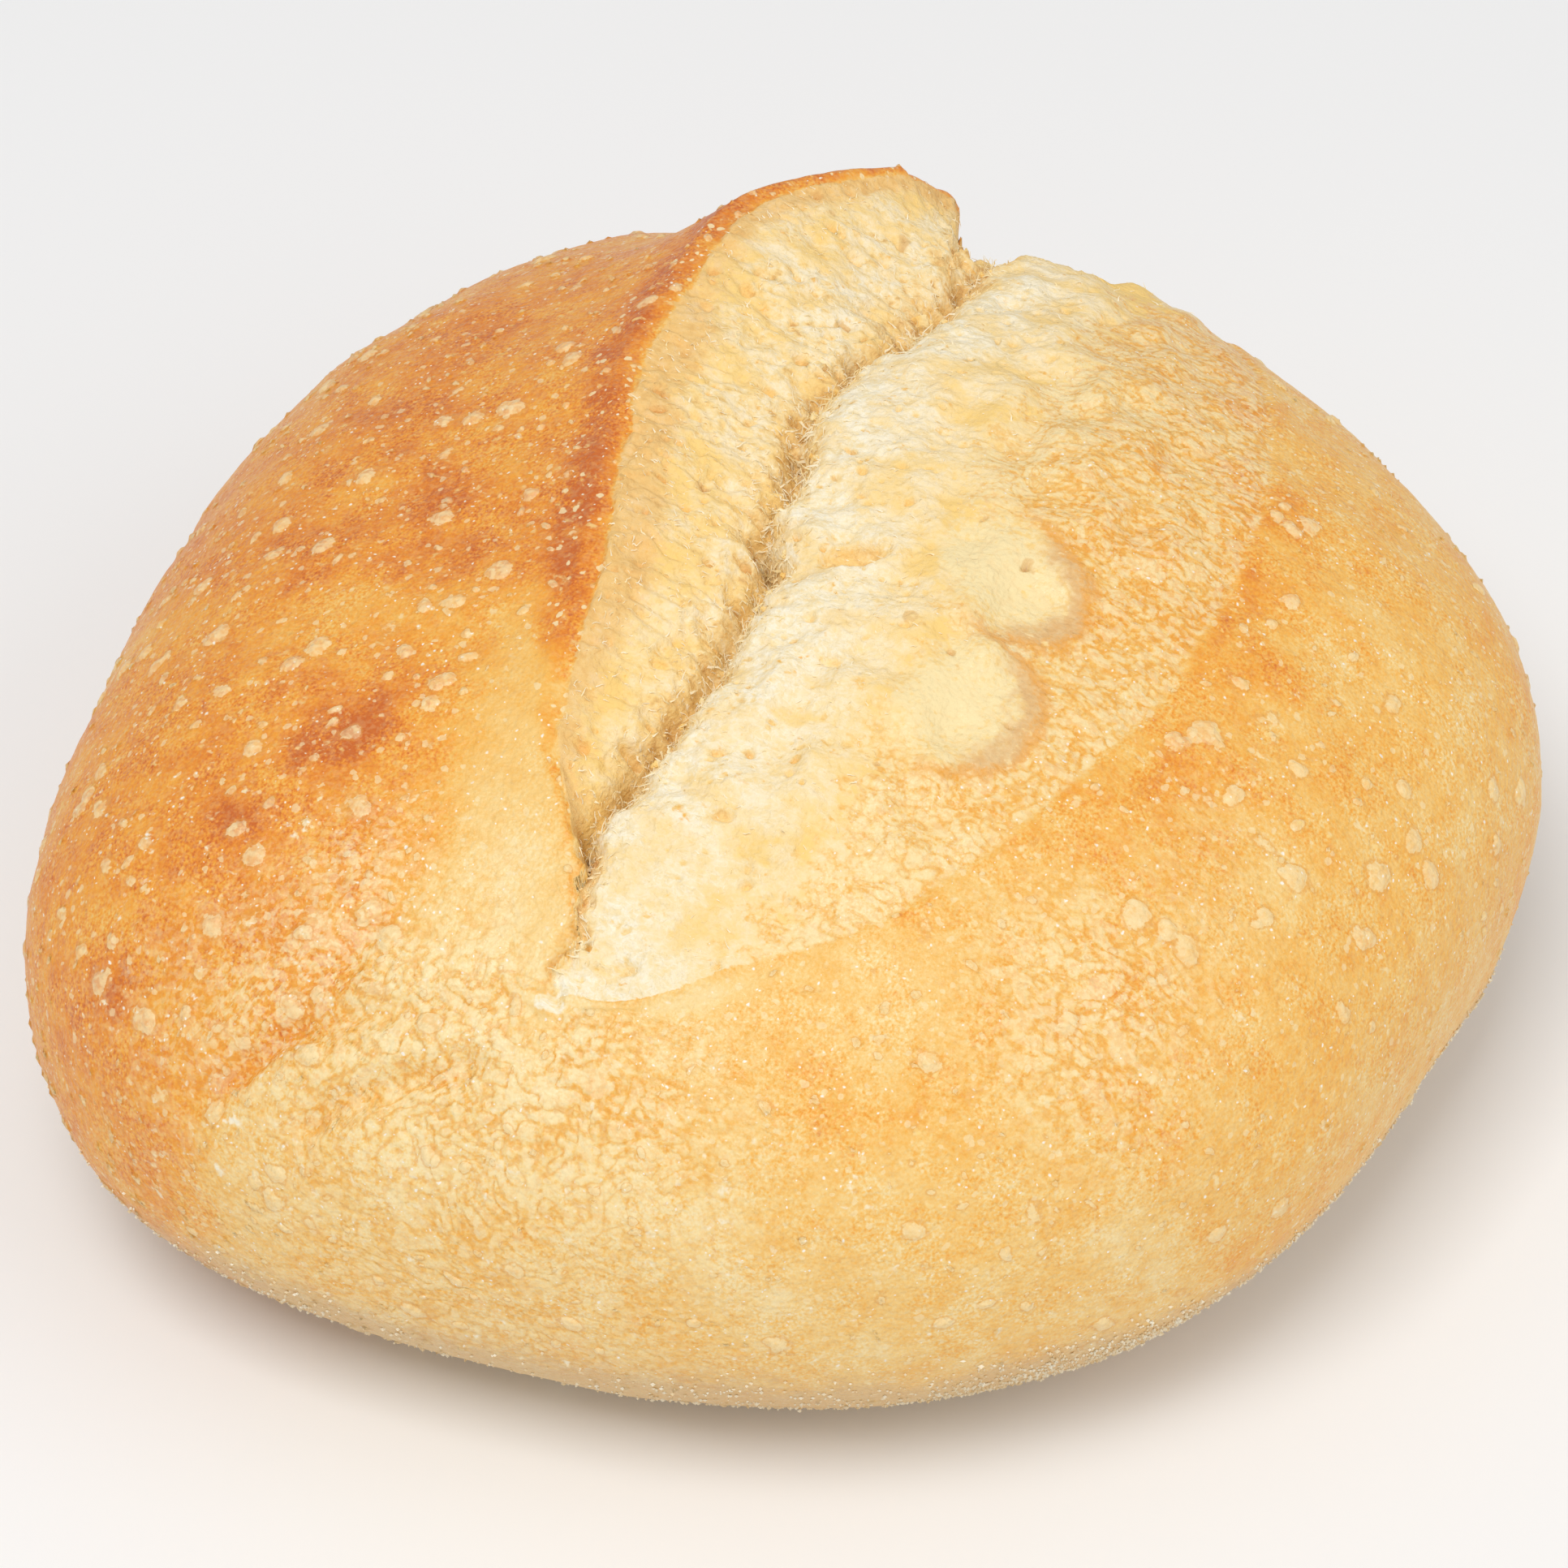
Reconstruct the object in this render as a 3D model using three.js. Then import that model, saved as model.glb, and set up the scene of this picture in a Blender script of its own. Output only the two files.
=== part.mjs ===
// Sourdough loaf: a round hearth loaf, baked on its flat sole and opened by one curved cut.
// Left of the cut the crust has lifted into an ear; right of it the crumb has bloomed out to a
// torn lip. Millimetres, +Z up, origin on the sole, under the middle of the loaf's box.

import * as THREE from 'three';

// ---- the loaf's body ----
const BODY_RADIUS = 95.9; // mean radius of the plan outline at the waist
const LOBES = [ // how the plan outline leaves a circle: waves round it, share of the radius, bearing
  { waves: 2, swell: 0.034, bearing: 27.6 },
  { waves: 3, swell: 0.028, bearing: -18.3 },
  { waves: 4, swell: 0.030, bearing: 25.5 },
  { waves: 5, swell: 0.010, bearing: -6.0 },
  { waves: 7, swell: 0.009, bearing: 2.8 },
];
const WAIST = { x: -1.2, y: -1.8, z: 38 }; // middle of the widest level
const CROWN_RISE = 49.3; // waist to the top of the dome
const SOLE_DROP = 52.5; // waist to the bottom of the curve, which the flat sole cuts off at z = 0
const ROUNDNESS = 2.3; // 2 is an ellipse, more is squarer

// ---- the cut: p runs along it from the front end, q across it to the right ----
// a pair of numbers in brackets is the stretch of p over which a form builds up or dies away
const CUT = { x: -1.4, y: -3.8, bearing: 68 }; // where p and q are zero, and the bearing of p from +X
const CUT_START = -73; // where the opening begins
const CUT_END = 96; // where the ear comes back down to the crust
const SHOULDER = [30, 50]; // heights between which the cut's relief fades in
const LIFT = 0.6; // how far the relief rises upward, as against straight out of the skin

const GROOVE_BEND = { q: -4.2, swing: 3.4, middle: -12, spread: 22, swingBack: [5, 25] };
const GROOVE_DEPTH = 9; // below the dome
const GROOVE_SPAN = { open: [-72, -40], close: [86, 104] };
const GROOVE_FILLET = 2.6; // how fast the crumb rises out of the groove

const EAR_FACE = { width: 21.5, opening: 0.65, from: -57, to: 1, close: [52, CUT_END] }; // torn slope
const EDGE_ROLL = 3; // how far the crust's edge rolls over before the torn face
const EDGE_ROUNDING = 0.02; // of the face's width, squared
const EAR_HEIGHT = { front: 2, middle: 4.5, back: 12.5 }; // of the edge above the dome
const EAR_SPAN = { front: [-70, -50], middle: [-50, 0], back: [25, 90], close: [84, CUT_END] };
const EAR_SWEEP = { middle: 24, back: 16, change: [40, 80] }; // how far left of the edge the rise starts
const EAR_LEAN = { front: 2, back: 2.5, spread: 3.5 }; // how far the edge hangs over to the right
const LEAN_SPAN = { front: [-70, -60], frontEnd: [-52, -40], back: [60, 76], backEnd: [84, 92] };

const BLOOM_REACH = 55; // from the p axis to the lip, at the widest
const BLOOM_LENGTH = 178; // of the lip's arch, from the start of the cut
const BLOOM_SQUARENESS = 0.52; // of that arch: 1 is a plain half wave, less is squarer
const BLOOM_SPAN = { open: [-75, -69], close: [92, 104] };
const BLOOM_BULGE = { front: 3, back: 1.5, build: [-70, -20], change: [30, 80], fullness: 0.8 };

// ---- crags of the torn crumb ----
const TEARS = [ // ragged holes along the foot of the ear's face: place in p, depth
  { p: -53, depth: 2.5 }, { p: -44, depth: 3.5 }, { p: -38, depth: 2.5 }, { p: -33, depth: 2.5 },
  { p: -2, depth: 3.5 }, { p: 40, depth: 3 }, { p: 67, depth: 4 },
];
const TEAR_WIDTH = 2.5;
const TEAR_OFFSET = 1; // how far left of the groove's bottom they lie
const BUBBLES = [ // burst bubbles in the bloom: middle, half sizes, depth, turn of the long axis from p to q
  { p: 2.5, q: 28.5, long: 12.5, wide: 9.4, depth: 2.4, turn: 128 },
  { p: -20.1, q: 30.9, long: 10.9, wide: 9.8, depth: 2.2, turn: 31 },
  { p: -2.4, q: 10.6, long: 5.8, wide: 2.5, depth: 1.8, turn: 55 },
];
const BUBBLE_FLOOR = 0.6; // the share of a bubble's radius that is flat
const CRAG = { height: 1.1, along: 6, across: 4.5, start: 3, fade: 0.75 }; // relief of the torn crumb

// ---- the mesh ----
const ROWS = 92; // from the front end of the cut's axis to the back end
const COLUMNS = { face: 8, bloom: 18, right: 10, sole: 4, left: 10, sweep: 8 }; // round the loaf
const CROWDING = { bloom: 1.35 }; // more than 1 puts a band's columns closer together at its left
const NARROWEST = { face: 2.5, bloom: 8 }; // column bands stay this wide past the cut's ends
const REST = { edge: -0.25, groove: 0, lip: 0.6, sole: 2.6, sweep: -0.8 }; // longitudes at the two ends
const SETTLE = 0.4; // cosine of the latitude under which the columns turn to those longitudes
const STEEPEST = 0.93; // sine of the furthest longitude a line may follow
const FOLLOW_STEPS = 25;

const { cos, sin, hypot, max, min, abs, sign, sqrt, exp, PI } = Math;
const rad = THREE.MathUtils.degToRad;
const clamp = THREE.MathUtils.clamp;
const lerp = THREE.MathUtils.lerp;

// a smooth step from 0 at a to 1 at b
function ease([a, b], x) {
  return THREE.MathUtils.smoothstep(x, a, b);
}

// ---- curves of the cut, all in p ----

// q of the groove's bottom: a gentle S
function grooveLine(p) {
  const { q, swing, middle, spread, swingBack } = GROOVE_BEND;
  return q + swing * exp(-(((p - middle) / spread) ** 2)) - swing * ease(swingBack, p);
}

// width of the ear's torn face
function faceWidth(p) {
  const { width, opening, from, to, close } = EAR_FACE;
  return width * clamp((p - from) / (to - from), 0, 1) ** opening * (1 - ease(close, p));
}

// height of the ear's edge above the dome
function earHeight(p) {
  const { front, middle, back } = EAR_HEIGHT;
  const rise = front * ease(EAR_SPAN.front, p) + (middle - front) * ease(EAR_SPAN.middle, p);
  return (rise + (back - middle) * ease(EAR_SPAN.back, p)) * (1 - ease(EAR_SPAN.close, p));
}

// how far the ear's edge hangs over to the right
function earLean(p) {
  const front = EAR_LEAN.front * ease(LEAN_SPAN.front, p) * (1 - ease(LEAN_SPAN.frontEnd, p));
  return front + EAR_LEAN.back * ease(LEAN_SPAN.back, p) * (1 - ease(LEAN_SPAN.backEnd, p));
}

// width of the bloom, from the groove to the lip
function bloomWidth(p) {
  const arch = sin(PI * clamp((p - CUT_START) / BLOOM_LENGTH, 0, 1)) ** BLOOM_SQUARENESS;
  const open = ease(BLOOM_SPAN.open, p) * (1 - ease(BLOOM_SPAN.close, p));
  return max(BLOOM_REACH * arch - grooveLine(p), 0) * open;
}

function grooveDepth(p) {
  return GROOVE_DEPTH * ease(GROOVE_SPAN.open, p) * (1 - ease(GROOVE_SPAN.close, p));
}

function bloomBulge(p) {
  const { front, back, build, change } = BLOOM_BULGE;
  return front * ease(build, p) + (back - front) * ease(change, p);
}

// q of the line where the crust's edge starts to roll over
function edgeLine(p) {
  return grooveLine(p) - faceWidth(p) - min(EDGE_ROLL, faceWidth(p) / 4);
}

// ---- relief: height over the plain body at a place of the top ----

// smooth noise from -1 to 1 on a square lattice
function crags(x, y) {
  const knot = (i, j) => {
    const s = sin(i * 127.1 + j * 311.7) * 43758.5453;
    return s - Math.floor(s);
  };
  const i = Math.floor(x);
  const j = Math.floor(y);
  const u = ease([0, 1], x - i);
  const v = ease([0, 1], y - j);
  return 2 * lerp(lerp(knot(i, j), knot(i + 1, j), u), lerp(knot(i, j + 1), knot(i + 1, j + 1), u), v) - 1;
}

// the crust sweeping up to the ear's edge, left of the cut
function sweepRelief(p, q) {
  const reach = lerp(EAR_SWEEP.middle, EAR_SWEEP.back, ease(EAR_SWEEP.change, p));
  return earHeight(p) * (1 - clamp((edgeLine(p) - q) / reach, 0, 1)) ** 2;
}

// the ear's torn face: rounded over at the edge, then straight down to the groove
function faceRelief(p, q) {
  const across = clamp((q - edgeLine(p)) / max(grooveLine(p) - edgeLine(p), 0.5), 0, 1);
  const rounded = (x) => sqrt(x ** 2 + EDGE_ROUNDING) - sqrt(EDGE_ROUNDING);
  return earHeight(p) - (earHeight(p) + grooveDepth(p)) * (rounded(across) / rounded(1));
}

// the opened crumb: steep out of the groove, then domed out to the lip
function bloomRelief(p, q) {
  const across = q - grooveLine(p);
  const share = clamp(across / max(bloomWidth(p), 1), 0, 1);
  const dome = bloomWidth(p) > 1 ? bloomBulge(p) * sin(PI * share) ** BLOOM_BULGE.fullness : 0;
  return dome - grooveDepth(p) * exp(-across / GROOVE_FILLET);
}

function tearRelief(p, q) {
  const across = (q - grooveLine(p) + TEAR_OFFSET) / TEAR_WIDTH;
  return -TEARS.reduce((sum, tear) => {
    const along = (p - tear.p) / TEAR_WIDTH;
    return sum + tear.depth * exp(-(along ** 2) - across ** 2);
  }, 0);
}

function bubbleRelief(p, q) {
  return -BUBBLES.reduce((sum, b) => {
    const turn = rad(b.turn);
    const along = ((p - b.p) * cos(turn) + (q - b.q) * sin(turn)) / b.long;
    const across = ((q - b.q) * cos(turn) - (p - b.p) * sin(turn)) / b.wide;
    return sum + b.depth * (1 - ease([BUBBLE_FLOOR, 1], hypot(along, across)));
  }, 0);
}

function cragRelief(p, q) {
  if (bloomWidth(p) <= 1) return 0;
  const lip = ease([CRAG.fade, 1], (q - grooveLine(p)) / bloomWidth(p));
  const torn = ease([0, CRAG.start], q - edgeLine(p)) * (1 - lip);
  return CRAG.height * torn * crags(p / CRAG.along, q / CRAG.across);
}

function relief(p, q) {
  const sides = q < edgeLine(p) ? sweepRelief : q < grooveLine(p) ? faceRelief : bloomRelief;
  return sides(p, q) + tearRelief(p, q) + bubbleRelief(p, q) + cragRelief(p, q);
}

// ---- the body: a point of its skin from latitude along p and longitude round p ----

const ALONG = new THREE.Vector3(cos(rad(CUT.bearing)), sin(rad(CUT.bearing)), 0);
const ACROSS = new THREE.Vector3(sin(rad(CUT.bearing)), -cos(rad(CUT.bearing)), 0);
const UP = new THREE.Vector3(0, 0, 1);
const MIDDLE = new THREE.Vector3(WAIST.x, WAIST.y, WAIST.z);

function cutPlace(point) {
  const flat = new THREE.Vector3(point.x - CUT.x, point.y - CUT.y, 0);
  return { p: flat.dot(ALONG), q: flat.dot(ACROSS) };
}

const MIDDLE_Q = cutPlace(MIDDLE).q;

function outlineRadius(bearing) {
  const swell = LOBES.reduce((sum, lobe) => {
    const turn = lobe.waves * (bearing - rad(lobe.bearing));
    return sum + lobe.swell * cos(turn);
  }, 0);
  return BODY_RADIUS * (1 + swell);
}

function skin(latitude, longitude) {
  const ray = ALONG.clone().multiplyScalar(sin(latitude))
    .addScaledVector(ACROSS, cos(latitude) * sin(longitude))
    .addScaledVector(UP, cos(latitude) * cos(longitude));
  const level = max(hypot(ray.x, ray.y), 1e-9);
  const radius = outlineRadius(Math.atan2(ray.y, ray.x));
  const height = ray.z > 0 ? CROWN_RISE : SOLE_DROP;
  const spread = (level / radius) ** ROUNDNESS + (abs(ray.z) / height) ** ROUNDNESS;
  const reach = spread ** (-1 / ROUNDNESS);
  const sideways = ((level * reach) / radius) ** (ROUNDNESS - 1) / radius;
  const upward = sign(ray.z) * ((abs(ray.z) * reach) / height) ** (ROUNDNESS - 1) / height;
  const normal = new THREE.Vector3((ray.x / level) * sideways, (ray.y / level) * sideways, upward);
  return { point: ray.multiplyScalar(reach).add(MIDDLE), normal: normal.normalize() };
}

// the skin with the cut's relief, pushed outward and a little upward, and the sole cut flat
function crustPoint(latitude, longitude) {
  const { point, normal } = skin(latitude, longitude);
  const { p, q } = cutPlace(point);
  const top = ease(SHOULDER, point.z);
  const push = normal.clone().addScaledVector(UP, LIFT).normalize();
  const lean = earLean(p) * exp(-(((q - edgeLine(p)) / EAR_LEAN.spread) ** 2));
  point.addScaledVector(push, relief(p, q) * top).addScaledVector(ACROSS, lean * top);
  point.z = max(point.z, 0);
  return point;
}

// ---- columns: longitudes that follow the cut's lines, and settle to fixed ones at the ends ----

function follow(latitude, rest, target) {
  let longitude = rest;
  for (let step = 0; step < FOLLOW_STEPS; step += 1) {
    const { point } = skin(latitude, longitude);
    const spoke = hypot(cutPlace(point).q - MIDDLE_Q, point.z - WAIST.z);
    longitude = (longitude + target(cutPlace(point).p, spoke)) / 2;
  }
  return lerp(rest, longitude, ease([0, SETTLE], cos(latitude)));
}

function lineTarget(line) {
  return (p, spoke) => Math.asin(clamp((line(p) - MIDDLE_Q) / spoke, -STEEPEST, STEEPEST));
}

function soleTarget(side) {
  return (p, spoke) => side * Math.acos(clamp(-WAIST.z / spoke, -0.96, 0.3));
}

function rowLongitudes(latitude) {
  const edge = (p) => grooveLine(p) - max(faceWidth(p), NARROWEST.face);
  const lip = (p) => grooveLine(p) + max(bloomWidth(p), NARROWEST.bloom);
  const marks = [
    follow(latitude, REST.edge, lineTarget(edge)),
    follow(latitude, REST.groove, lineTarget(grooveLine)),
    follow(latitude, REST.lip, lineTarget(lip)),
    follow(latitude, REST.sole, soleTarget(1)),
    follow(latitude, -REST.sole, soleTarget(-1)) + 2 * PI,
    follow(latitude, REST.sweep, lineTarget((p) => edge(p) - EAR_SWEEP.middle)) + 2 * PI,
  ];
  marks.push(marks[0] + 2 * PI);
  return Object.entries(COLUMNS).flatMap(([band, count], index) => (
    Array.from({ length: count }, (_, step) => {
      const share = (step / count) ** (CROWDING[band] ?? 1);
      return lerp(marks[index], marks[index + 1], share);
    })));
}

// ---- the loaf ----

function loafGeometry() {
  const rows = Array.from({ length: ROWS - 1 }, (_, row) => {
    const latitude = ((row + 1) / ROWS - 0.5) * PI;
    return rowLongitudes(latitude).map((longitude) => crustPoint(latitude, longitude));
  });
  const around = rows[0].length;
  const points = [...rows.flat(), crustPoint(-PI / 2, 0), crustPoint(PI / 2, 0)];
  const frontEnd = points.length - 2;
  const backEnd = points.length - 1;
  const triangles = [];
  for (let column = 0; column < around; column += 1) {
    const next = (column + 1) % around;
    triangles.push(frontEnd, next, column);
    for (let row = 0; row < rows.length - 1; row += 1) {
      const near = row * around;
      const far = near + around;
      triangles.push(near + column, near + next, far + next);
      triangles.push(near + column, far + next, far + column);
    }
    const last = (rows.length - 1) * around;
    triangles.push(backEnd, last + column, last + next);
  }
  const positions = points.flatMap((point) => point.toArray());
  const geometry = new THREE.BufferGeometry();
  geometry.setAttribute('position', new THREE.Float32BufferAttribute(positions, 3));
  geometry.setIndex(triangles);
  geometry.computeVertexNormals();
  return geometry;
}

function crustMaterial() {
  return new THREE.MeshStandardMaterial({ color: 0xe3a35c, roughness: 0.6, metalness: 0 });
}

const loaf = new THREE.Mesh(loafGeometry(), crustMaterial());
loaf.name = 'loaf';

const group = new THREE.Group();
group.add(loaf);

export default group;
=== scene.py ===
"""A round sourdough loaf, dressed: browned and blistered crust, a lifted ear, torn crumb and flour.

Lengths are millimetres until a mesh is made. p runs along the loaf's cut, from its front end to
its back end, and q runs across it to the right.
"""

import itertools
import math

import bpy
import numpy as np
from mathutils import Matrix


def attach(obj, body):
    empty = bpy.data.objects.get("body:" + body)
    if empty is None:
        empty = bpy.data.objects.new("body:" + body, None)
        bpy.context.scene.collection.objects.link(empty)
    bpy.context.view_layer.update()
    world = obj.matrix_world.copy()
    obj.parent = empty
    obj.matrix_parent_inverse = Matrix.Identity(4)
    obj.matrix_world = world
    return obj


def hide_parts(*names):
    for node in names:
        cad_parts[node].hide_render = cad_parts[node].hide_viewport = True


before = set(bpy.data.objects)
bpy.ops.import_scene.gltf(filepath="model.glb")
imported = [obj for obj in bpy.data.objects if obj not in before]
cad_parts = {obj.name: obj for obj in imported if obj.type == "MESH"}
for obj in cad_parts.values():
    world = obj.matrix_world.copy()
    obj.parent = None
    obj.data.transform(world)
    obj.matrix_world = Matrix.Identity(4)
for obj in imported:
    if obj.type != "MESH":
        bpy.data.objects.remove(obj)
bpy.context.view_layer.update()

# ---- the dough's round body -------------------------------------------------------------------
# A ball of dough, slackened into a squarish dome as it proved, and baked on its flat sole. Its
# outline swells and sinks a little on its way round.

BODY_RADIUS = 95.9  # mean radius of the plan outline at the waist
LOBES = (  # waves round the outline, share of the radius, bearing
    (2, 0.034, 27.6),
    (3, 0.028, -18.3),
    (4, 0.030, 25.5),
    (5, 0.010, -6.0),
    (7, 0.009, 2.8),
)
WAIST = np.array([-1.2, -1.8, 38.0])  # middle of the widest level
CROWN_RISE = 49.3
SOLE_DROP = 52.5
ROUNDNESS = 2.3
CUT_BEARING = math.radians(68)
CUT_MIDDLE = np.array([-1.4, -3.8])  # where p and q are zero
ALONG = np.array([math.cos(CUT_BEARING), math.sin(CUT_BEARING), 0.0])
ACROSS = np.array([math.sin(CUT_BEARING), -math.cos(CUT_BEARING), 0.0])
UP = np.array([0.0, 0.0, 1.0])


def ease(start, end, x):
    """A smooth step from 0 at start to 1 at end."""
    t = np.clip((x - start) / (end - start), 0, 1)
    return t * t * (3 - 2 * t)


def bell(x, middle, spread):
    """A smooth bump, 1 at middle and 0.37 at spread from it."""
    return np.exp(-(((x - middle) / spread) ** 2))


def between(x, a, b, c, d):
    """1 from b to c, with smooth steps up from a and down to d."""
    return ease(a, b, x) * (1 - ease(c, d, x))


def outline_radius(bearing):
    """Radius of the plan outline at the waist, towards a bearing."""
    swell = sum(share * np.cos(waves * (bearing - math.radians(turn))) for waves, share, turn in LOBES)
    return BODY_RADIUS * (1 + swell)


def body_skin(latitude, longitude):
    """Points and normals of the plain body, by latitude along the cut and longitude round it."""
    along = np.sin(latitude) * np.ones_like(longitude)
    across = np.cos(latitude) * np.sin(longitude)
    up = np.cos(latitude) * np.cos(longitude)
    ray = along[..., None] * ALONG + across[..., None] * ACROSS + up[..., None] * UP
    level = np.hypot(ray[..., 0], ray[..., 1]) + 1e-9
    radius = outline_radius(np.arctan2(ray[..., 1], ray[..., 0]))
    height = np.where(up > 0, CROWN_RISE, SOLE_DROP)
    fullness = (level / radius) ** ROUNDNESS + (np.abs(up) / height) ** ROUNDNESS
    reach = fullness ** (-1 / ROUNDNESS)
    outward = (level * reach / radius) ** (ROUNDNESS - 1) / radius
    upward = np.sign(up) * (np.abs(up) * reach / height) ** (ROUNDNESS - 1) / height
    normal = np.stack([ray[..., 0] / level * outward, ray[..., 1] / level * outward, upward], -1)
    normal /= np.linalg.norm(normal, axis=-1, keepdims=True)
    return WAIST + ray * reach[..., None], normal


def cut_place(points):
    """p and q of points."""
    flat = points[..., :2] - CUT_MIDDLE
    return flat @ ALONG[:2], flat @ ACROSS[:2]


MIDDLE_Q = float(cut_place(WAIST)[1])

# ---- the cut: groove, ear and bloom -----------------------------------------------------------
# One slanting slash before baking. The crust left of it lifted into an ear with a torn face, and
# the dough right of it bloomed open and set in the heat out to a lip.

CUT_START = -73  # p
CUT_END = 96  # p
GROOVE_DEPTH = 3.8
GROOVE_FILLET = 1.8
EAR_FACE = 21.5  # width of the torn face at its widest
FACE_START = -57  # p where the face starts to open
FACE_FULL = 1  # p where it is widest
FACE_OPENING = 0.65  # how fast it widens: 1 is evenly, less is sooner
EDGE_ROUNDING = 0.02  # of the ear's edge, a share of the face's width, squared
EDGE_ROLL = 3  # how far the crust rolls over the ear's edge
EAR_SWEEP = 24  # how far left of the edge the ear starts to rise
BLOOM_REACH = 55  # q of the lip at its farthest
BLOOM_LENGTH = 178  # of the lip's arch, from the start of the cut
BLOOM_SQUARENESS = 0.52  # of that arch: 1 is a plain half wave, less is squarer
EAR_END = 21.0  # how far right of the loaf's middle the ear reaches
TEARS = ((-53, 2.5), (-44, 3.5), (-38, 2.5), (-33, 2.5), (-2, 3.5), (40, 3), (67, 4))  # p, depth
TEAR_WIDTH = 2.5
TEAR_OFFSET = 1  # how far left of the groove's bottom they lie
BACK_RISE = 3.0  # of the bloom beside the groove's back end
BUBBLES = (  # burst bubbles of the bloom: p, q, half length, half width, depth, turn from p to q
    (2.5, 28.5, 12.5, 9.4, 2.4, 128),
    (-20.1, 30.9, 10.9, 9.8, 2.2, 31),
    (-2.4, 10.6, 5.8, 2.5, 1.8, 55),
)


def crags(x, y):
    """Smooth noise from -1 to 1 on a square lattice."""

    def knot(i, j):
        """A fixed random number from 0 to 1 for each point of the lattice."""
        s = np.sin(i * 127.1 + j * 311.7) * 43758.5453
        return s - np.floor(s)

    i, j = np.floor(x), np.floor(y)
    u, v = ease(0, 1, x - i), ease(0, 1, y - j)
    near = knot(i, j) + (knot(i + 1, j) - knot(i, j)) * u
    far = knot(i, j + 1) + (knot(i + 1, j + 1) - knot(i, j + 1)) * u
    return 2 * (near + (far - near) * v) - 1


def sidestep(p):
    """How far the groove runs to the right of its plain course. The ear's face is as much wider."""
    middle = 2.4 * between(p, -54, -44, -12, 4)
    return middle + 2.0 * ease(12, 22, p) + 4.5 * ease(36, 46, p) + 1.2 * ease(46, 64, p)


def groove_line(p):
    """q of the groove's bottom."""
    course = -0.3 - 3.9 * ease(-73, -57, p) + 3.4 * bell(p, -12, 22) - 3.4 * ease(5, 25, p)
    return course + sidestep(p)


def face_width(p):
    """Width of the ear's torn face, seen from above."""
    taper = 1 - ease(52, CUT_END, p)
    opening = np.clip((p - FACE_START) / (FACE_FULL - FACE_START), 0, 1) ** FACE_OPENING
    return EAR_FACE * opening * taper + sidestep(p)


def ear_height(p):
    """Height of the ear's edge above the plain body, with a notch near its back end."""
    rise = 2 * ease(-70, -50, p) + 2.5 * ease(-50, 0, p) + 8 * ease(25, 90, p)
    rise = rise - 1.0 * ease(78.5, 79.3, p) - 1.8 * ease(79, 84, p)
    return rise * (1 - ease(84, CUT_END, p))


def torn_off(p, q):
    """1 where the ear's back end was torn away, on a ragged line square to the loaf's right."""
    rags = 1.2 * crags(p / 1.9, q / 1.9) + 0.6 * crags(p / 0.8, q / 0.8)
    right = p * ALONG[0] + q * ACROSS[0] + CUT_MIDDLE[0]
    return ease(EAR_END, EAR_END + 1.6, right + rags) * ease(62, 72, p)


def ear_lean(p):
    """How far the ear leans over the groove."""
    return 2 * between(p, -70, -60, -52, -40) + 2.5 * between(p, 60, 76, 84, 92)


def bloom_width(p):
    """How far the lip lies right of the groove."""
    arch = np.sin(np.pi * np.clip((p - CUT_START) / BLOOM_LENGTH, 0, 1)) ** BLOOM_SQUARENESS
    width = np.maximum(BLOOM_REACH * arch - groove_line(p), 0)
    return width * between(p, -75, -69, 92, 104)


def groove_depth(p):
    """Depth of the groove's bottom below the plain body."""
    depth = GROOVE_DEPTH + 1.8 * ease(44, 58, p) - 2.4 * ease(58, 72, p)
    return depth * between(p, -72, -40, 86, 104)


def bloom_bulge(p):
    """How far the bloom swells above the plain body, between the groove and the lip."""
    return 3 * ease(-70, -20, p) - 1.5 * ease(30, 80, p)


def edge_line(p):
    """q of the line where the crust's edge starts to roll over."""
    return groove_line(p) - face_width(p) - np.minimum(EDGE_ROLL, face_width(p) / 4)


def bubble_nearness(p, q):
    """For each burst bubble, distance from its middle in half sizes."""
    spreads = []
    for middle_p, middle_q, long, wide, _, turn in BUBBLES:
        c, s = math.cos(math.radians(turn)), math.sin(math.radians(turn))
        a, b = p - middle_p, q - middle_q
        spreads.append(np.hypot((a * c + b * s) / long, (b * c - a * s) / wide))
    return spreads


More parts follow.
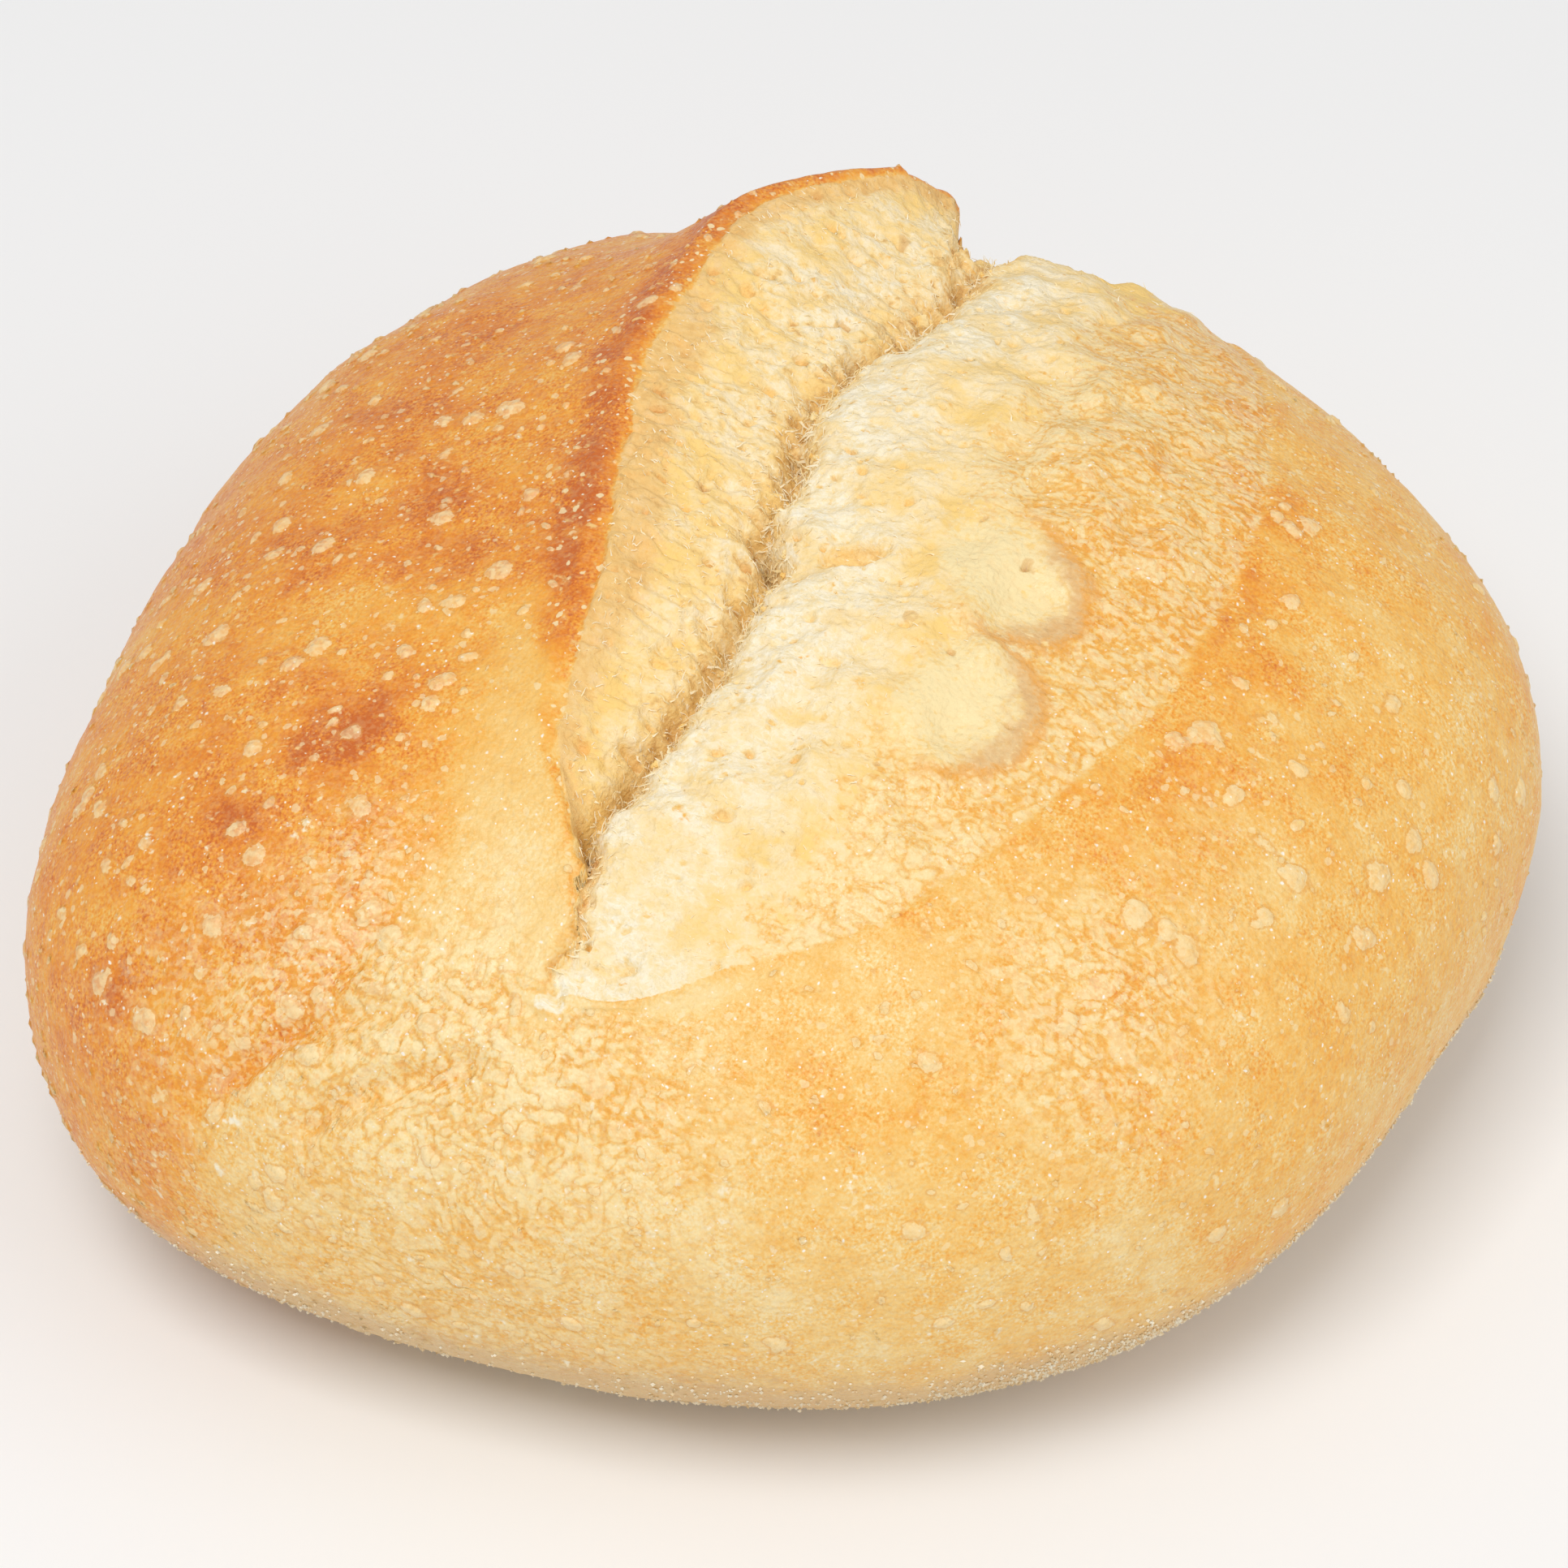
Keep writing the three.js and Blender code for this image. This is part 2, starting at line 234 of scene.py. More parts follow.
def cut_relief(p, q):
    """Height of the cut's forms above the plain body."""
    edge, groove, width = edge_line(p), groove_line(p), bloom_width(p)
    ear, depth = ear_height(p) * (1 - torn_off(p, q)), groove_depth(p)
    reach = EAR_SWEEP - 8 * ease(40, 80, p)
    sweep = ear * (1 - np.clip((edge - q) / reach, 0, 1)) ** 2
    across = np.clip((q - edge) / np.maximum(groove - edge, 0.5), 0, 1)
    crest, foot = math.sqrt(EDGE_ROUNDING), math.sqrt(1 + EDGE_ROUNDING)
    fall = (np.sqrt(across**2 + EDGE_ROUNDING) - crest) / (foot - crest)
    face = ear - (ear + depth) * fall
    out = np.maximum(q - groove, 0)
    share = np.clip(out / np.maximum(width, 1), 0, 1)
    dome = bloom_bulge(p) * np.sin(np.pi * share) ** 0.8 * (width > 1)
    fillet = GROOVE_FILLET + 2.6 * ease(42, 66, p)
    bloom = dome - depth * np.exp(-out / fillet)
    height = np.where(q < edge, sweep, np.where(q < groove, face, bloom))
    for place, drop in TEARS:
        beside_foot = bell(q, groove - TEAR_OFFSET, TEAR_WIDTH)
        height = height - 0.5 * drop * bell(p, place, TEAR_WIDTH) * beside_foot
    for (_, middle, _, _, drop, _), spread in zip(BUBBLES, bubble_nearness(p, q)):
        steep = 0.4 + 0.6 * ease(-6, 4, q - middle)
        height = height - 0.5 * drop * steep * (1 - ease(0.3, 1.05, spread))
    height = height + BACK_RISE * bell(p, 74, 11) * bell(q, 1, 8) * ease(0, 1, across)
    torn = ease(0, 3, q - edge) * (1 - ease(0.75, 1, out / np.maximum(width, 1))) * (width > 1)
    return height + (1.1 - 0.6 * (q < groove)) * torn * crags(p / 6, q / 4.5)


# ---- the mesh's grid ----------------------------------------------------------------------------
# Rows run round the loaf, square to the cut, and columns run along it. The groove, the ear's edge,
# the lip and the sole's edge lie on columns of their own, so they come out sharp.

ROWS = 700
FINENESS = 1
COLUMNS = {"face": 84, "bloom": 180, "right": 190, "sole": 26, "left": 170, "sweep": 80}
FOLLOW_ROUNDS = 25
LIFT = 0.6  # how far the relief rises upward, as against straight out of the skin
SHOULDER = (30, 50)  # heights between which the cut's relief fades in


def follow(latitude, rest, target):
    """Longitudes that meet a line of the loaf, drawn together at both ends of the grid. Each round
    halves the miss."""
    longitude = np.full_like(latitude, rest)
    for _ in range(FOLLOW_ROUNDS):
        points, _ = body_skin(latitude, longitude)
        p, q = cut_place(points)
        spoke = np.hypot(q - MIDDLE_Q, points[..., 2] - WAIST[2])
        longitude = (longitude + target(p, spoke)) / 2
    return rest + (longitude - rest) * ease(0, 0.4, np.cos(latitude))


def line_target(line):
    """For follow(): the longitude of a line that lies at q = line(p)."""
    return lambda p, spoke: np.arcsin(np.clip((line(p) - MIDDLE_Q) / spoke, -0.93, 0.93))


def sole_target(side):
    """For follow(): the longitude of the sole's edge, on the right for 1 and on the left for -1."""
    return lambda p, spoke: side * np.arccos(np.clip(-WAIST[2] / spoke, -0.96, 0.3))


def grid_longitudes(latitude):
    """Longitudes of every column, for each row's latitude, with the first column repeated last."""

    def edge(p):
        return groove_line(p) - np.maximum(face_width(p), 2.5)

    def lip(p):
        return groove_line(p) + np.maximum(bloom_width(p), 8)

    marks = [
        follow(latitude, -0.25, line_target(edge)),
        follow(latitude, 0.0, line_target(groove_line)),
        follow(latitude, 0.6, line_target(lip)),
        follow(latitude, 2.6, sole_target(1)),
        follow(latitude, -2.6, sole_target(-1)) + 2 * np.pi,
        follow(latitude, -0.8, line_target(lambda p: edge(p) - EAR_SWEEP)) + 2 * np.pi,
    ]
    marks.append(marks[0] + 2 * np.pi)
    bands = []
    for number, (band, columns) in enumerate(COLUMNS.items()):
        count = int(columns * FINENESS)
        share = (np.arange(count) / count) ** (1.35 if band == "bloom" else 1)
        start, end = marks[number][:, None], marks[number + 1][:, None]
        bands.append(start + (end - start) * share)
    return np.concatenate(bands + [marks[-1][:, None]], 1)


latitude = (np.arange(1, ROWS) / ROWS - 0.5) * np.pi
longitude = grid_longitudes(latitude)[:, :-1]
plain, normal = body_skin(latitude[:, None], longitude)
push = normal + LIFT * UP
push /= np.linalg.norm(push, axis=-1, keepdims=True)
top = ease(*SHOULDER, plain[..., 2])
plain_p, plain_q = cut_place(plain)

# ---- how dough is uneven: noise, bubbles and the stretch across the cut -------------------------
# Everything in the skin and crumb was drawn out across the cut as the loaf opened, so noise and
# bubbles are laid out in a space that is squeezed across it.

STRETCH = 0.75
REPEAT = 64  # cells, a power of two
CHANCES = np.random.default_rng(7).random((REPEAT, REPEAT, REPEAT))
SALT_STEP = np.array([17, 31, 47])  # cells from one salt's numbers to the next one's
FAR_OUT = -0.8  # depth of a place that lies in no bubble


def chance(box, salt):
    """A fixed random number from 0 to 1 for each whole-number place. Each salt gives another."""
    i, j, k = np.moveaxis((box + salt * SALT_STEP) & (REPEAT - 1), -1, 0)
    return CHANCES[i, j, k]


def noise(place, size, salt):
    """Smooth noise from -1 to 1."""
    place = place / size
    home = np.floor(place).astype(np.int64)
    part = ease(0, 1, place - home)
    total = np.zeros(place.shape[:-1])
    for corner in itertools.product((0, 1), repeat=3):
        share = np.ones(place.shape[:-1])
        for axis, far in enumerate(corner):
            share = share * (part[..., axis] if far else 1 - part[..., axis])
        total += share * chance(home + np.array(corner), salt)
    return 2 * total - 1


def rough(place, size, salt, octaves=3):
    """Noise with finer noise on it."""
    layers = [noise(place, size / 2**n, salt + n) / 2**n for n in range(octaves)]
    return sum(layers) / (2 - 0.5 ** (octaves - 1))


def shaken(place, size, amount, salt):
    """Places pushed about by noise, which makes round things ragged."""
    return place + amount * np.stack([noise(place, size, salt + axis) for axis in range(3)], -1)


def bubbles(place, cell, share, salt, small, large):
    """How deep each place lies in the nearest of many scattered bubbles: 1 in its middle, 0 at its
    rim and less outside. Their radii run from small to large, and they gather in some stretches."""
    home = np.floor(place / cell).astype(np.int64)
    deepest = np.full(place.shape[:-1], FAR_OUT)
    for step in itertools.product((-1, 0, 1), repeat=3):
        box = home + np.array(step)
        jitter = np.stack([chance(box, salt + axis) for axis in range(3)], -1)
        away = np.linalg.norm(place - (box + 0.15 + 0.7 * jitter) * cell, axis=-1)
        radius = small + (large - small) * chance(box, salt + 3) ** 2
        crowd = 0.45 + 1.1 * chance(box // 4, salt + 5)
        there = chance(box, salt + 4) < share * crowd
        deepest = np.maximum(deepest, np.where(there, 1 - away / radius, FAR_OUT))
    return deepest


def squeezed(points, across=STRETCH):
    """Places in the squeezed space, from points of the loaf."""
    p, q = cut_place(points)
    return np.stack([p, q * across, points[..., 2] * across], -1)


flow = squeezed(plain)

# ---- zones of the surface ---------------------------------------------------------------------
# Raw crumb lines the ear's face and the near half of the bloom, and from there to the lip it set
# into a thin golden net. The rest is baked crust, drawn thin and pale in a strip beside the ear,
# out to a soft crease. That sweeps round the front, where the dough folded over in a low lobe.

RAW_WIDTH = 24.5  # of the bloom's raw crumb, right of the groove
SWEEPING_CREASE = (  # p, q
    (-91, -44), (-86, -38), (-80, -32), (-71, -24), (-60, -22),
    (-48, -23), (-33, -27), (-18, -33), (2, -47),
)  # fmt: skip
LOBE_CREASE = ((-39, -88), (-32, -82), (-23, -79), (-12, -75), (0, -73), (4, -74))  # q, p
FOLD_CREASE = ((-30, -90), (-24, -87), (-17, -84), (-9, -81), (-4, -79))  # q, p


def smooth_run(course, x):
    """A smooth curve through the course's pairs, which rise in x."""
    at, reached = np.array(course, float).T
    return sum(np.interp(x + shift, at, reached) for shift in (-3, -1, 1, 3)) / 4


def crust_edge(p):
    """q where the crust ends and the torn face begins, a little way over the ear's edge."""
    return edge_line(p) + 1.7 * ease(-58, -50, p) + 1.5 * ease(-47, -38, p) - 1.2 * ease(72, 83, p)


def along_only(p):
    """Places that change along the cut alone."""
    return np.stack([p, p * 0, p * 0], -1)


# Distances from the cut's lines. The groove's own course is shaken, and everything beside it.
p = plain_p
ragged = rough(flow, 4, 11)
wander = 1.3 * noise(along_only(p), 5, 21) + 0.6 * noise(along_only(p), 1.7, 22)
wander += 0.4 * ragged + 0.35 * noise(flow, 0.9, 23)
q = plain_q + top * wander * bell(plain_q, groove_line(p), 7) * ease(-74, -66, p)
opened = between(p, -76, -71, 93, 99) * top
behind_front = ease(-60, -45, p)
from_edge = q - crust_edge(p) + 0.6 * ragged * behind_front
from_groove = q - groove_line(p)
from_lip = from_groove - bloom_width(p) + 4 * (1 - ease(-64, -50, p)) + 0.8 * ragged
from_sweep = q - smooth_run(SWEEPING_CREASE, p) + 2.2 * rough(flow, 10, 25)
from_lobe = p - smooth_run(LOBE_CREASE, q) + 0.7 * ragged
from_fold = p - smooth_run(FOLD_CREASE, q) + 0.7 * ragged

# How far each place is torn, set, raw, in a burst bubble or in the pale strip, from 0 to 1.
front_tuft = bell(p, -72.6, 1.1) * bell(plain_q, -1.2, 2.4)
torn = opened * ease(-0.4, 0.6, from_edge) * (1 - ease(-1.5, 0, from_lip))
torn = np.maximum(torn, ease(0.2, 0.9, front_tuft + 0.45 * ragged))
raw_border = from_groove - RAW_WIDTH + 6 * rough(flow, 12, 31) + 3.5 * rough(flow, 4, 35)
set_net = ease(-7, 6, raw_border)
spreads = [spread + 0.16 * rough(flow, 6, 37) + 0.08 * ragged for spread in bubble_nearness(p, q)]
pocket = 1 - np.minimum(spreads[0], spreads[1])
pocket_side = np.where(spreads[0] < spreads[1], q - BUBBLES[0][1], q - BUBBLES[1][1])
slit = 1 - spreads[2] - 0.3 * ragged
lined = ease(0, 1, (pocket + 0.02) / (0.08 + 0.5 * (1 - ease(-6, 2, pocket_side))))
raw = torn * (1 - set_net) * (1 - lined)
set_net = set_net * torn
strip = (1 - ease(-4, 0, from_edge)) * ease(-8, 8, from_sweep) * (1 - ease(-40, -12, p)) * top
strip *= ease(-75, -66, p)

# ---- relief: pits, crags and crevice of the crumb, lumps, blisters and wrinkles of the crust ------

LARGE_BLISTERS = (  # p, q, half length
    (-6, 59, 2.4), (-10, 56, 1.6), (-12, 65, 1.8), (-7, 83, 2.6), (1, 85, 2.2), (0, 88, 2.2),
    (16, 77, 1.6), (34, 55, 1.4), (36, 59, 1.8), (19, 71, 1.2), (6, 82, 1.6), (2, 78, 1.2),
    (-10, 73, 1.2), (-34, 64, 1.8), (-31, -66, 2.2), (-34, -50, 2.2), (-38, -31, 1.8),
    (-47, -39, 1.4), (-58, -45, 1.5), (-73, -34, 1.6), (-69, -27, 2.0), (-54, -74, 1.8),
    (12, -44, 1.6), (25, -41, 1.8), (-25, -35, 1.8), (-19, -31, 1.8),
)  # fmt: skip

HOLES = (  # open pores that stand out one by one: p, q, half length
    (4.7, 31.0, 1.1), (9.9, 23.1, 0.7), (-13.5, 27.4, 0.8), (-15.6, 29.1, 0.6), (3.5, -12.9, 1.1),
    (-20.0, 38.0, 0.7), (-55.2, 65.7, 0.5),
    (5.7, 93.3, 0.5), (-32.5, 25.5, 0.5), (-11.0, 21.5, 0.8), (58.0, 20.0, 0.6), (45.0, -10.0, 1.1),
    (68.0, -10.0, 1.2), (64.5, -19.0, 0.8),
)  # fmt: skip


def body_height(p, q):
    """Height of the plain body over a place of the cut's plan."""
    level = p * ALONG[:2] + q * ACROSS[:2] + CUT_MIDDLE - WAIST[:2]
    share = min(math.hypot(*level) / outline_radius(math.atan2(level[1], level[0])), 1)
    return WAIST[2] + CROWN_RISE * (1 - share**ROUNDNESS) ** (1 / ROUNDNESS)


def blisters_at(place, blisters):
    """As bubbles(), for blisters or holes that are placed one by one."""
    deepest = np.full(place.shape[:-1], FAR_OUT)
    for blister_p, blister_q, half in blisters:
        middle = np.array([blister_p, blister_q, body_height(blister_p, blister_q)])
        mean_radius = 0.85 * half
        away = np.linalg.norm(place - middle, axis=-1)
        deepest = np.maximum(deepest, 1 - away / mean_radius)
    return deepest


# Open crumb: pits with walls between them, and chunks that are larger beside the groove.
relief = cut_relief(p, q) * top
open_dough = raw > 0.01
near_groove = bell(from_groove, -1.0, 5.0)
crumb_place = squeezed(plain, 0.8)[open_dough]
foam_place = shaken(crumb_place, 1.8, 0.8, 400)
# The pits' depths, kept for the painted shade that darkens the crumb in them.
pit = np.full_like(p, FAR_OUT)
fine_pits = bubbles(foam_place, 1.8, 0.75, 40, 0.35, 0.8)
wide_pits = bubbles(shaken(crumb_place, 3, 1.2, 405), 3.4, 0.6, 50, 0.5, 1.5)
walls = 1 - 2.4 * np.abs(noise(shaken(crumb_place, 3, 1.8, 435), 2.4, 66))
pit[open_dough] = np.maximum(fine_pits - 0.15, wide_pits) - 0.3 * walls
foam = 0.3 * ease(-0.1, 0.7, fine_pits) + 0.9 * ease(-0.05, 0.6, wide_pits)
foam = (foam - 0.25) * (1 + near_groove[open_dough])
chunks = rough(shaken(crumb_place, 4, 1.8, 415), 3.0, 64, 4)
crumb_relief = np.zeros_like(p)
on_face = (from_groove < 0)[open_dough]
crumb_relief[open_dough] = (0.42 + 0.2 * on_face + 1.2 * near_groove[open_dough]) * chunks
crumb_relief[open_dough] += (0.22 + 0.22 * on_face) * walls - (1 + 0.3 * on_face) * foam

# The crack along the groove, the tears beside it and the slit right of it.
crevice = 0.8 + 0.6 * noise(along_only(p), 6, 68) + 0.4 * noise(along_only(p), 1.5, 69)
crevice = np.clip(crevice, 0.15, 1.6)
crevice *= between(p, -74, -71, 78, 92) * top * (0.5 + 0.5 * ease(-56, -44, p))
crevice *= 1 - 0.5 * ease(44, 60, p)
crumb_relief -= 2.6 * crevice * bell(from_groove, -0.4, 1.0 + 0.8 * crevice)
for tear_p, tear_depth in TEARS:
    crumb_relief -= tear_depth * 0.6 * bell(p, tear_p, 2.0) * bell(from_groove, -TEAR_OFFSET, 1.4) * top
crumb_relief -= 1.4 * ease(0.0, 0.45, slit) * top

# Blisters of the crust and the open pores.
skin_place = shaken(squeezed(plain, 1.0), 2.0, 0.8, 420)
share = 0.35 + 0.4 * (q < -20)
blister = bubbles(skin_place, 4.5, share, 80, 0.5, 1.9)
blister = np.maximum(blister, bubbles(skin_place, 2.4, 0.9 * share, 90, 0.3, 0.8))
blister = np.maximum(blister, blisters_at(skin_place, LARGE_BLISTERS))
on_crust = 1 - ease(0.0, 0.3, torn) * 0.85
blister = np.where((on_crust > 0.5) & (strip < 0.5), blister, FAR_OUT)
hole = blisters_at(shaken(squeezed(plain, 1.0), 1.2, 0.7, 425), HOLES)
relief -= 0.9 * ease(0.0, 0.8, hole)

# Lumps, crinkles and the creases of the folded front.
lumps = 0.5 * noise(flow, 17, 70) + 0.35 * noise(flow, 8, 71) * (1 - 0.8 * lined)
wrinkled = bell(p, -80, 14) * bell(q, -12, 38) + 0.75 * bell(p, -48, 15) * bell(q, 58, 15)
wrinkled += 0.3 * bell(p, -20, 20) * bell(q, 66, 10) + 0.4 * bell(p, -62, 8) * bell(q, -30, 8)
wrinkled *= 1 - 0.85 * bell(from_lip, 2.5, 3.5) * bell(p, -66, 14)
wrinkled = wrinkled * (1 - 0.6 * strip) + 0.25 * strip * (1 - ease(-8, -3, from_edge))
wrinkled *= ease(8, 30, plain[..., 2])
wrinkled = np.clip(wrinkled, 0, 1) * (1 - torn) + 0.9 * set_net * (1 - 0.4 * lined)
crinkle_place = shaken(flow, 2.5, 1.0, 430)
puffs = noise(crinkle_place, 1.3, 75) + 0.6 * noise(crinkle_place, 0.7, 76)
furrow_place = shaken(flow, 3.5, 1.6, 440)
winding = noise(furrow_place, 1.3, 77) + 0.6 * noise(furrow_place, 0.7, 78)
furrow = bell(winding, 0, 0.2) * wrinkled * (1 - 0.5 * set_net)
crease = bell(from_sweep, -0.5, 3.0) * between(p, -96, -84, -80, -60)
lobe_fold = ease(-42, -36, q) * (1 - 0.6 * ease(-24, -14, q) - 0.4 * ease(-3, 4, q))
crease += 1.3 * bell(from_lobe, 0, 1.7) * lobe_fold
crease += 1.5 * bell(from_fold, 0, 1.6) * between(q, -31, -26, -10, -4)
crease *= (1 - torn) * ease(35, 55, plain[..., 2])
skin_relief = lumps + 0.10 * rough(shaken(flow, 2, 0.8, 425), 1.4, 72)
skin_relief += 0.12 * puffs * wrinkled - 0.3 * furrow - 1.2 * crease
skin_relief += 0.42 * ease(0, 0.45, blister)
lip_fade = np.exp(-np.maximum(from_lip, 0) / 8) * opened * behind_front
skin_relief += 0.7 * ease(-1.2, 0.4, from_lip) * lip_fade
relief += crumb_relief * np.maximum(raw, bell(from_groove, 0, 1.5) * opened) + skin_relief * (1 - raw)
points = plain + push * relief[..., None]
lean = ear_lean(p) * bell(q, edge_line(p), 3.5) * top
points += lean[..., None] * ACROSS
points[..., 2] = np.maximum(points[..., 2], 0)

# ---- browning ---------------------------------------------------------------------------------
# The oven browned the left dome, the ear's edge and the lip most, in patches; the front and right
# are golden and the lower wall, shaded by the dome, stayed pale.

BAKE = 0.29  # browning of the front and right, where 1 is darkest
LEFT_BAKE = 0.37  # what the left dome has more
SCORCHES = (  # p, q, reach, strength
    (-48, -40, 5, 0.40), (-46, -37, 9, 0.16), (-62, -50, 5, 0.26), (-79, -59, 4, 0.24),
    (-6, -46, 5, 0.28), (-20, -57, 7, 0.16), (15, -59, 9, 0.14), (34, -57, 9, 0.16),
    (-17, -66, 11, 0.12), (-57, -60, 12, 0.08), (-16, -38, 5, 0.14), (-90, -48, 8, 0.08),
    (-30, 48, 6, 0.16), (-14, 60, 6, 0.28), (9, 58, 6, 0.26), (20, 58, 5, 0.14), (34, 54, 7, 0.22),
    (-46, 40, 7, 0.06), (-46, 60, 8, 0.10), (-71, 34, 8, 0.16), (-61, 49, 8, 0.08),
    (-80, 12, 8, 0.14), (-72, 25, 6, 0.12), (50, 36, 9, 0.12), (59, 27, 7, 0.12),
    (74, 32, 13, 0.24), (14, 41, 7, 0.14), (20, 32, 6, 0.10),
)  # fmt: skip
PALE_PATCHES = (  # p, q, reach, strength
    (-60, -12, 10, 0.12), (-75, -15, 12, 0.10), (-87, -10, 18, 0.08), (-86, 12, 18, 0.08),
    (-22, 74, 9, 0.14), (-38, 41, 8, 0.14), (-60, 71, 11, 0.16), (-82, 38, 12, 0.08),
    (-28, 46, 5, 0.10), (8, 86, 9, 0.06), (32, 25, 8, 0.06), (-66, -31, 7, 0.06),
    (-80, -42, 8, 0.08), (-30, -50, 8, 0.06),
)  # fmt: skip


def patches(spots):
    """Soft round patches on the skin, with wandering edges."""
    moved = shaken(plain, 7, 3.0, 100)
    moved_p, moved_q = cut_place(moved)
    total = np.zeros_like(moved_p)
    for spot_p, spot_q, reach, strength in spots:
        up = moved[..., 2] - body_height(spot_p, spot_q)
        away = (moved_p - spot_p) ** 2 + (moved_q - spot_q) ** 2 + up**2
        total += strength * np.exp(-away / reach**2)
    return total


# The left dome, the lower wall, the drawn strip and the patches.
blur = 7 + 8 * ease(-58, -30, p)
beside = (1 - ease(-1, 1, from_sweep / blur)) * (1 - ease(-38, -14, p))
left = np.maximum(beside, ease(-38, -14, p) * (1 - ease(-4, 2, from_edge)) * (q < 0))
bake = BAKE + LEFT_BAKE * left + 0.09 * ease(40, 70, q) * ease(-75, -50, p)
bake += 0.11 * rough(flow, 22, 130) + 0.12 * rough(flow, 6, 140)
bake -= 0.10 * (1 - ease(4, 26, plain[..., 2]))
streaks = rough(plain_p[..., None] * (0.1, 0, 0) + plain_q[..., None] * (0, 1, 0), 2.2, 170)
bake += (0.09 * streaks - 0.02) * strip
patchy = patches(SCORCHES) - patches(PALE_PATCHES)
bake += patchy

# The lip, and the net inside it.
lip_shade = ease(-0.9, 0.5, from_lip) * np.exp(-np.maximum(from_lip, 0) / 5)
lip_shade *= opened * behind_front * (1 - ease(45, 70, p))
bake += 0.2 * lip_shade * (0.8 + 0.8 * rough(flow, 5, 150))
set_bake = 0.38 * ease(14, 46, from_groove) + 0.20 * rough(flow, 8, 145) + patchy
bake += (set_bake - bake) * torn * set_net
# Browner along the creases, partly the crust's colour and partly painted shade in their folds; paler in
# a band inside the lip at the front.
bake += 0.15 * crease - 0.16 * bell(from_lip, 2.0, 2.6) * bell(p, -68, 9) * (1 - torn)

# The ear's edge.
RIM = (  # the dark band along the ear's edge: p, width
    (-60, 1.4), (-50, 2.2), (-40, 3), (-32, 5.5), (-19, 9.0),
    (0, 8.6), (24, 8), (42, 8), (60, 6.5), (90, 4),
)  # fmt: skip
rim_width = smooth_run(RIM, p)
rim_depth = -from_edge + 0.8 * rough(flow, 2.5, 155)
rim = ease(-0.3, 0.7, rim_depth) * (1 - ease(0.55, 1.15, rim_depth / rim_width))
rim *= between(p, -68, -56, 92, 97) * opened
bake += rim * (0.24 + 0.04 * ease(-40, -18, p) - 0.08 * ease(22, 46, p) + 0.20 * rough(flow, 3, 160))

# Where the crust is even, the painted shade low on the wall, how the ear's face toasted,
# and the painted shade along the groove.
lip_band = bell(from_lip, 2.5, 3.0) * bell(p, -68, 10) * (1 - torn)
low_wall = 1 - ease(14, 34, plain[..., 2] + 4 * rough(flow, 12, 175))
calm = np.maximum(np.maximum(0.8 * strip, lip_band), low_wall)
# Painted shade: the lower wall is darkened to grey tan towards the sole, as under the loaf's bulge.
dusted = 1 - ease(18, 32, plain[..., 2] + 5 * rough(flow, 9, 180))
face_gold = 1.2 * np.exp(-np.maximum(from_edge, 0) / 14) * (from_groove < 0) * ease(-62, -45, p)
face_gold += 0.7 * ease(4, RAW_WIDTH + 2, from_groove) + 0.8 * ease(68, 84, p) * (from_groove > 0)
face_toast = 1 - ease(1.5, 11, from_edge + 3 * rough(flow, 6, 165) + 3 * (1 - ease(-40, -10, p)))
face_toast *= (from_groove < -2) * ease(-62, -45, p) * (1 - 0.5 * ease(25, 50, p))
face_toast += 0.9 * bell(from_edge, 0.5, 2.2) * between(p, 40, 60, 88, 94)
face_gold *= 1 - 0.4 * ease(25, 50, p) * (from_groove < 0)
# Painted shade: a tan band along the groove, darker towards its back end, stands in for the shadow in
# the crack.
painted_groove_shade = bell(from_groove, -1.0, 3.0 + 2.4 * ease(36, 56, p)) * ease(-74, -62, p)
painted_groove_shade *= (0.85 + 0.35 * ease(5, 30, p)) * opened

# ---- the loaf's mesh --------------------------------------------------------------------------
# The whole loaf is one closed skin. Every point of it carries the zones, the browning and the
# depths that its colour is worked out from.

MM = 0.001  # in Blender's metres


def placed(name, data):
    """A new object of the scene."""
    made = bpy.data.objects.new(name, data)
    bpy.context.scene.collection.objects.link(made)
    return made


